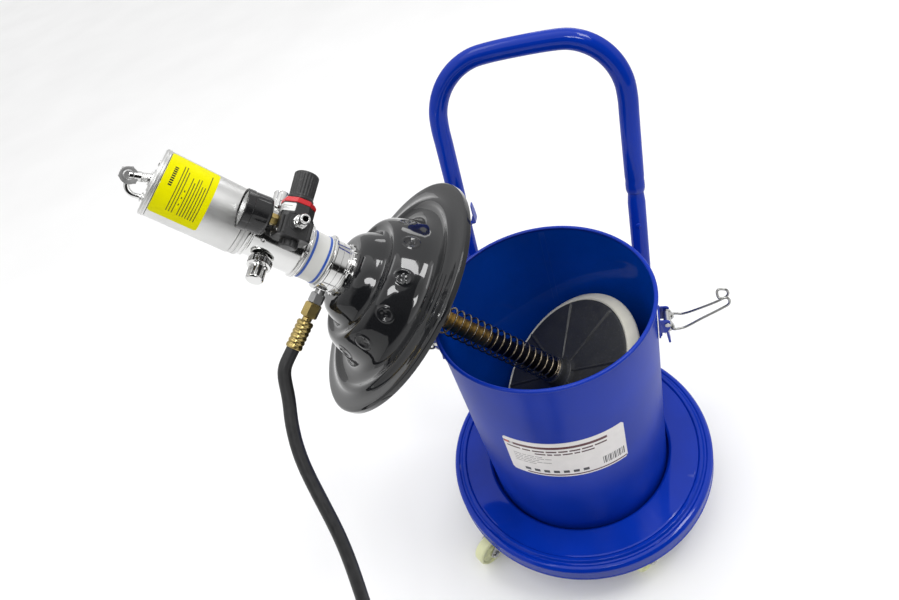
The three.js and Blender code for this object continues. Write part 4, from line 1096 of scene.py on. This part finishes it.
low = [(-16, -12, 1), (-12, -16.5, 1), (12, -16.5, 1), (16, -12, 1), (16, 12, 1), (12, 16.5, 1), (-12, 16.5, 1), (-16, 12, 1)]
plug_form = lambda r, z, a: (r - (0.9 * max(0.0, math.cos(a * 8)) ** 3 if r > 8.5 and -22.4 < z < -17 else 0), z)
body_parts = [
    side_plate(low, -15, 6.6, 0.8, 0.01),
    side_plate([(x * 0.94, y * 0.94, r) for x, y, r in low], 6.4, 8.6, 0.2, 0.01),
    side_plate(with_r(octagon(15.9), 0.8), 8.4, 20.1, 0.6, 0.01),
    xf(lathe(soften([(0, -23), (7.6, -23, 0.4), (9.5, -22, 0.6), *[(9.5, z) for z in np.linspace(-21.4, -17.2, 8)], (9.5, -16.4, 0.3), (8.6, -16, 0.3), (8.6, -14.6), (0, -14.6)], 0, 2), 128, False, plug_form), AX_Y),
    rod(9.4, 15.8, 17.0, 0.4, 64), xf(rod(9.2, 15.6, 16.5, 0.4, 64), AX_X), xf(rod(9.2, -16.5, -15.6, 0.3, 64), AX_X),
    xf(rod(9.0, 16.0, 16.9, 0.4, 64), rx(180)),
    *[block(sx * 13.2 - 1.6, sx * 13.2 + 1.6, -13.6, 4.6, 14.4, 17.2, 0.6) for sx in (-1, 1)],
    *[block(15.0, 16.9, -13.6, 4.6, sz * 12.6 - 1.4, sz * 12.6 + 1.4, 0.6) for sz in (-1, 1)],
]
piece("regulator_housing", body_parts, "plastic", "pump", ["regulator_body"], T=REG)
for k, (sx, sz) in enumerate(((-1, 1), (1, 1), (1, -1)), 1):
    piece(f"regulator_screw_{k}", xf(turned([(0, 0), (2.1, 0, 0.3), (2.1, 0.9, 0.4), (1.1, 0.9, 0.1), (1.0, 0.2), (0, 0.2)], 0.1, 32, False), tr(sx * 10.6, -10.8 if sz > 0 else -10.8, sz * 16.4) @ (np.eye(4) if sz > 0 else rx(180))), "zinc", "pump", T=REG)
piece("regulator_lock_ring", [side_plate(with_r(octagon(16.2), 1.0), 20.3, 24.2, 0.5, 0.01), side_plate(with_r(octagon(15.0), 1.0), 24.0, 26.0, 0.6, 0.01)], "red", "pump", ["regulator_ring"], T=REG)


def rib_form(r, z, a):
    if r > 11.0 and 31 < z < 55.2:
        w = math.cos(a * 24)
        r -= 0.55 * (0.5 - 0.5 * w)
    return r, z


knob = lathe(soften([(0, 26.3), (12.4, 26.3, 0.4), (13.3, 27.4, 0.6), (13.3, 29.2, 0.6), (12.2, 30.6, 0.6), (12.25, 32), *[(12.25 + 0.35 * (z - 32) / 22, z) for z in np.linspace(33, 53.4, 14)], (12.5, 55.6, 0.8), (11.2, 56.9, 0.8), (10.2, 56.9, 0.3), (9.8, 56.3, 0.3), (0, 56.1)], 0, 2), 288, False, rib_form)
piece("regulator_hand_knob", xf(knob, AX_Y), "plastic", "knob", ["regulator_knob"], T=REG, sharp=40)
slab, slab_pl = patch(16.12, 16.24, -101, -22, 10.6, 18.9, 20, 8, 0.8)


def to_octagon(v, apo):
    out = []
    for x, y, z in v:
        a = math.atan2(y, x)
        m = rad(((math.degrees(a) % 45) - 22.5) + 22.5)
        d = (math.degrees(a) + 22.5) % 45 - 22.5
        rr = math.hypot(x, y)
        R = min((apo + (rr - 16.12)) / math.cos(rad(d)), 17.05 + (rr - 16.12))
        out.append((R * math.cos(a), R * math.sin(a), z))
    return np.array(out)


slab = (to_octagon(slab[0], 15.98), slab[1])
mk = [(-0.0085, 0.0075, 0.0008, 0.0013, (0.15, 0.2, 0.15)), (-0.0085, 0.002, -0.0008, -0.0004, (0.25, 0.25, 0.25)), (-0.0085, 0.005, -0.0021, -0.0017, (0.25, 0.25, 0.25)), (-0.0098, -0.0088, -0.003, 0.003, (0.05, 0.05, 0.05))]
piece("regulator_sticker", xf(slab, AX_Y), stickers("regulator_sticker_film", (0.80, 0.81, 0.80), mk), "pump", T=REG, place=slab_pl)
piece("regulator_stub", [xf(rod(5.5, -25.5, -16.8, 0.3, 48), AX_X), xf(hexa(14, -21.5, -16.9), AX_X)], "chrome", "pump", ["regulator_nipple"], T=REG)
piece("air_inlet_nipple", [
    xf(hexa(13, 16.6, 23.4, 2.7), AX_X),
    xf(turned([(2.7, 23.0), (4.4, 23.0), (4.4, 24.6, 0.2), (5.0, 24.9, 0.2), (5.0, 26.3, 0.2), (4.3, 26.7, 0.2), (4.3, 27.7, 0.2), (5.0, 28.1, 0.2), (5.0, 29.6, 0.2), (4.3, 30.0, 0.2), (4.3, 31.4, 0.2), (5.2, 31.9, 0.3), (5.2, 35.8, 0.5), (4.6, 37, 0.5), (3.1, 37, 0.4), (2.7, 36.2)], 0.1, 64, True), AX_X)],
    "chrome", "pump", ["inlet_nipple"], T=REG)
case_form = lambda r, z, a: (r - (0.35 if r > 19 and 30 < z < 43 and abs((math.degrees(a) % 60) - 30) < 4 else 0), z)
piece("gauge_housing", lathe(soften([(0, 25.9), (15.6, 25.9, 1.0), (19.0, 27.4, 1.6), (19.4, 29.6, 0.6), *[(19.5, z) for z in np.linspace(31, 43, 6)], (19.5, 44.4, 0.3), (20.0, 44.9, 0.3), (20.0, 51.6, 0.8), (19.2, 52.5, 0.5), (18.2, 52.3, 0.3), (18.2, 46.0, 0.3), (0, 46.0)], 0, 3), 160, False, case_form), "gloss_plastic", "pump", ["gauge_case"], T=REG)
piece("gauge_stem", [hexa(10.6, 17.0, 24.0, 0.0, 0.8), rod(4.2, 23.8, 26.2, 0.2, 48), rod(4.6, 16.9, 17.6, 0.1, 48)], "brass", "pump", T=REG)
piece("gauge_face", turned([(1.3, 46.3), (17.6, 46.3, 0.2), (17.6, 47.2, 0.2), (1.3, 47.2)], 0.1, 96, True), "white", "pump", ["gauge_dial"], T=REG)
ticks = []
for i in range(41):
    a = 225 - 270 * i / 40
    ln = 2.6 if i % 10 == 0 else (1.9 if i % 5 == 0 else 1.1)
    w = 0.35 if i % 10 == 0 else 0.16
    ticks.append(xf(block(15.6 - ln, 15.6, -w / 2, w / 2, 47.15, 47.32, 0), rz(a)))
ticks.append(turned([(15.6, 47.15), (15.9, 47.15), (15.9, 47.3), (15.6, 47.3)], 0.02, 96, True))
piece("gauge_scale", ticks, "plastic", "pump", T=REG)
piece("gauge_pointer", [prism([(-1.0, -4, 0.5), (1.0, -4, 0.5), (0.75, 0), (0.28, 13), (-0.28, 13), (-0.75, 0)], 48.3, 48.8, 0.1, 0.01), turned([(0, 46.6), (0.9, 46.6, 0.1), (0.9, 48.2, 0.1), (2.2, 48.3, 0.2), (2.2, 49.5, 0.4), (0, 49.6)], 0.1, 32, False)],
      "plastic", "needle", ["gauge_needle"], T=REG)


def glass(name):
    n = Nodes(name)
    c = n.coord()
    n.link(n.span(n.noise(c, 200.0, 3), 0.3, 0.7, 0.01, 0.05), n.bsdf.inputs["Roughness"])
    n.set(Base_Color=(0.97, 0.98, 0.98, 1), Transmission_Weight=1.0, IOR=1.45)
    return n.m


M["glass"] = glass("clear_lens")
piece("gauge_window", turned([(0, 50.6), (17.9, 50.6, 0.1), (17.9, 51.4, 0.3), (0, 51.6)], 0.1, 96, False), "glass", "pump", ["gauge_lens"], T=REG)

# ------------------------------------------------------------------ inner working parts stay as modelled in CAD
for node, mat in (("air_piston", metal("piston_metal", (0.75, 0.75, 0.74), 0.25, 0.5, "z", cad=True)),
                  ("pump_rod", metal("rod_metal", (0.62, 0.62, 0.62), 0.12, 0.5, "z", cad=True)),
                  ("pump_plunger", metal("plunger_metal", (0.45, 0.45, 0.45), 0.22, 0.5, "z", cad=True))):
    o = bpy.data.objects[node]
    o.data.materials.clear()
    o.data.materials.append(mat)

# ------------------------------------------------------------------ floor, surroundings and lights
floor_me = bpy.data.meshes.new("floor")
floor_me.from_pydata([(-60, -60, 0), (60, -60, 0), (60, 60, 0), (-60, 60, 0)], [], [(0, 1, 2, 3)])
floor = bpy.data.objects.new("floor", floor_me)
bpy.context.scene.collection.objects.link(floor)
floor.location.z = -0.0004
fm = Nodes("studio_floor")
fc = fm.add("ShaderNodeTexCoord").outputs["Object"]
fm.link(fm.mix(fm.span(fm.noise(fc, 3.0, 2), 0.3, 0.7, 0, 1), (0.90, 0.90, 0.90), (0.93, 0.93, 0.93)), fm.bsdf.inputs["Base Color"])
fm.set(Roughness=0.6, Specular_IOR_Level=0.2)
floor_me.materials.append(fm.m)

w = bpy.data.worlds.new("studio")
bpy.context.scene.world = w
w.use_nodes = True
wt = w.node_tree
wt.nodes.clear()
wo = wt.nodes.new("ShaderNodeOutputWorld")
bg = wt.nodes.new("ShaderNodeBackground")
wt.links.new(bg.outputs[0], wo.inputs[0])
co = wt.nodes.new("ShaderNodeTexCoord")
dot = wt.nodes.new("ShaderNodeVectorMath")
dot.operation = "DOT_PRODUCT"
dot.inputs[1].default_value = (0.0, -0.73, 0.68)
wt.links.new(co.outputs["Generated"], dot.inputs[0])
mr = wt.nodes.new("ShaderNodeMapRange")
mr.inputs[1].default_value, mr.inputs[2].default_value = 0.60, 0.90
mr.inputs[3].default_value, mr.inputs[4].default_value = 1.0, 0.06
wt.links.new(dot.outputs["Value"], mr.inputs[0])
dot2 = wt.nodes.new("ShaderNodeVectorMath")
dot2.operation = "DOT_PRODUCT"
dot2.inputs[1].default_value = (-0.48, -0.86, 0.16)
wt.links.new(co.outputs["Generated"], dot2.inputs[0])
mr2 = wt.nodes.new("ShaderNodeMapRange")
mr2.inputs[1].default_value, mr2.inputs[2].default_value = 0.84, 0.93
mr2.inputs[3].default_value, mr2.inputs[4].default_value = 1.0, 0.03
wt.links.new(dot2.outputs["Value"], mr2.inputs[0])
both = wt.nodes.new("ShaderNodeMath")
both.operation = "MULTIPLY"
wt.links.new(mr.outputs[0], both.inputs[0])
wt.links.new(mr2.outputs[0], both.inputs[1])
dot3 = wt.nodes.new("ShaderNodeVectorMath")
dot3.operation = "DOT_PRODUCT"
dot3.inputs[1].default_value = (0.36, -0.92, 0.12)
wt.links.new(co.outputs["Generated"], dot3.inputs[0])
mr3 = wt.nodes.new("ShaderNodeMapRange")
mr3.inputs[1].default_value, mr3.inputs[2].default_value = 0.88, 0.95
mr3.inputs[3].default_value, mr3.inputs[4].default_value = 1.0, 0.03
wt.links.new(dot3.outputs["Value"], mr3.inputs[0])
three = wt.nodes.new("ShaderNodeMath")
three.operation = "MULTIPLY"
wt.links.new(both.outputs[0], three.inputs[0])
wt.links.new(mr3.outputs[0], three.inputs[1])
up = wt.nodes.new("ShaderNodeSeparateXYZ")
wt.links.new(co.outputs["Generated"], up.inputs[0])
sky = wt.nodes.new("ShaderNodeMapRange")
sky.inputs[1].default_value, sky.inputs[2].default_value = 0.0, 0.9
sky.inputs[3].default_value, sky.inputs[4].default_value = 0.50, 1.15
wt.links.new(up.outputs["Z"], sky.inputs[0])
mulw = wt.nodes.new("ShaderNodeMath")
mulw.operation = "MULTIPLY"
wt.links.new(three.outputs[0], mulw.inputs[0])
wt.links.new(sky.outputs[0], mulw.inputs[1])
wt.links.new(mulw.outputs[0], bg.inputs["Strength"])
bg.inputs["Color"].default_value = (1, 1, 1, 1)


def area(name, loc, target, size, power):
    d = bpy.data.lights.new(name, "AREA")
    d.shape = "RECTANGLE"
    d.size, d.size_y = size
    d.energy = power
    o = bpy.data.objects.new(name, d)
    o.location = loc
    o.rotation_euler = (Vector(target) - Vector(loc)).to_track_quat("-Z", "Y").to_euler()
    bpy.context.scene.collection.objects.link(o)
    return o


area("panel_right", (1.03, -0.29, 2.46), (-0.07, -0.03, 0.5), (0.75, 0.42), 13)
area("panel_front", (-0.07, -1.42, 2.26), (-0.07, -0.03, 0.5), (0.55, 0.38), 9)
area("panel_back", (1.05, 1.73, 1.30), (-0.07, -0.03, 0.5), (0.80, 0.34), 2.5)
area("panel_top", (-0.5, 0.5, 2.7), (0, 0, 0.2), (0.9, 0.6), 5)
sun = bpy.data.lights.new("ceiling", "SUN")
sun.energy, sun.angle = 0.9, rad(70)
sun_ob = bpy.data.objects.new("ceiling", sun)
sun_ob.rotation_euler = (rad(12), rad(-8), 0)
bpy.context.scene.collection.objects.link(sun_ob)
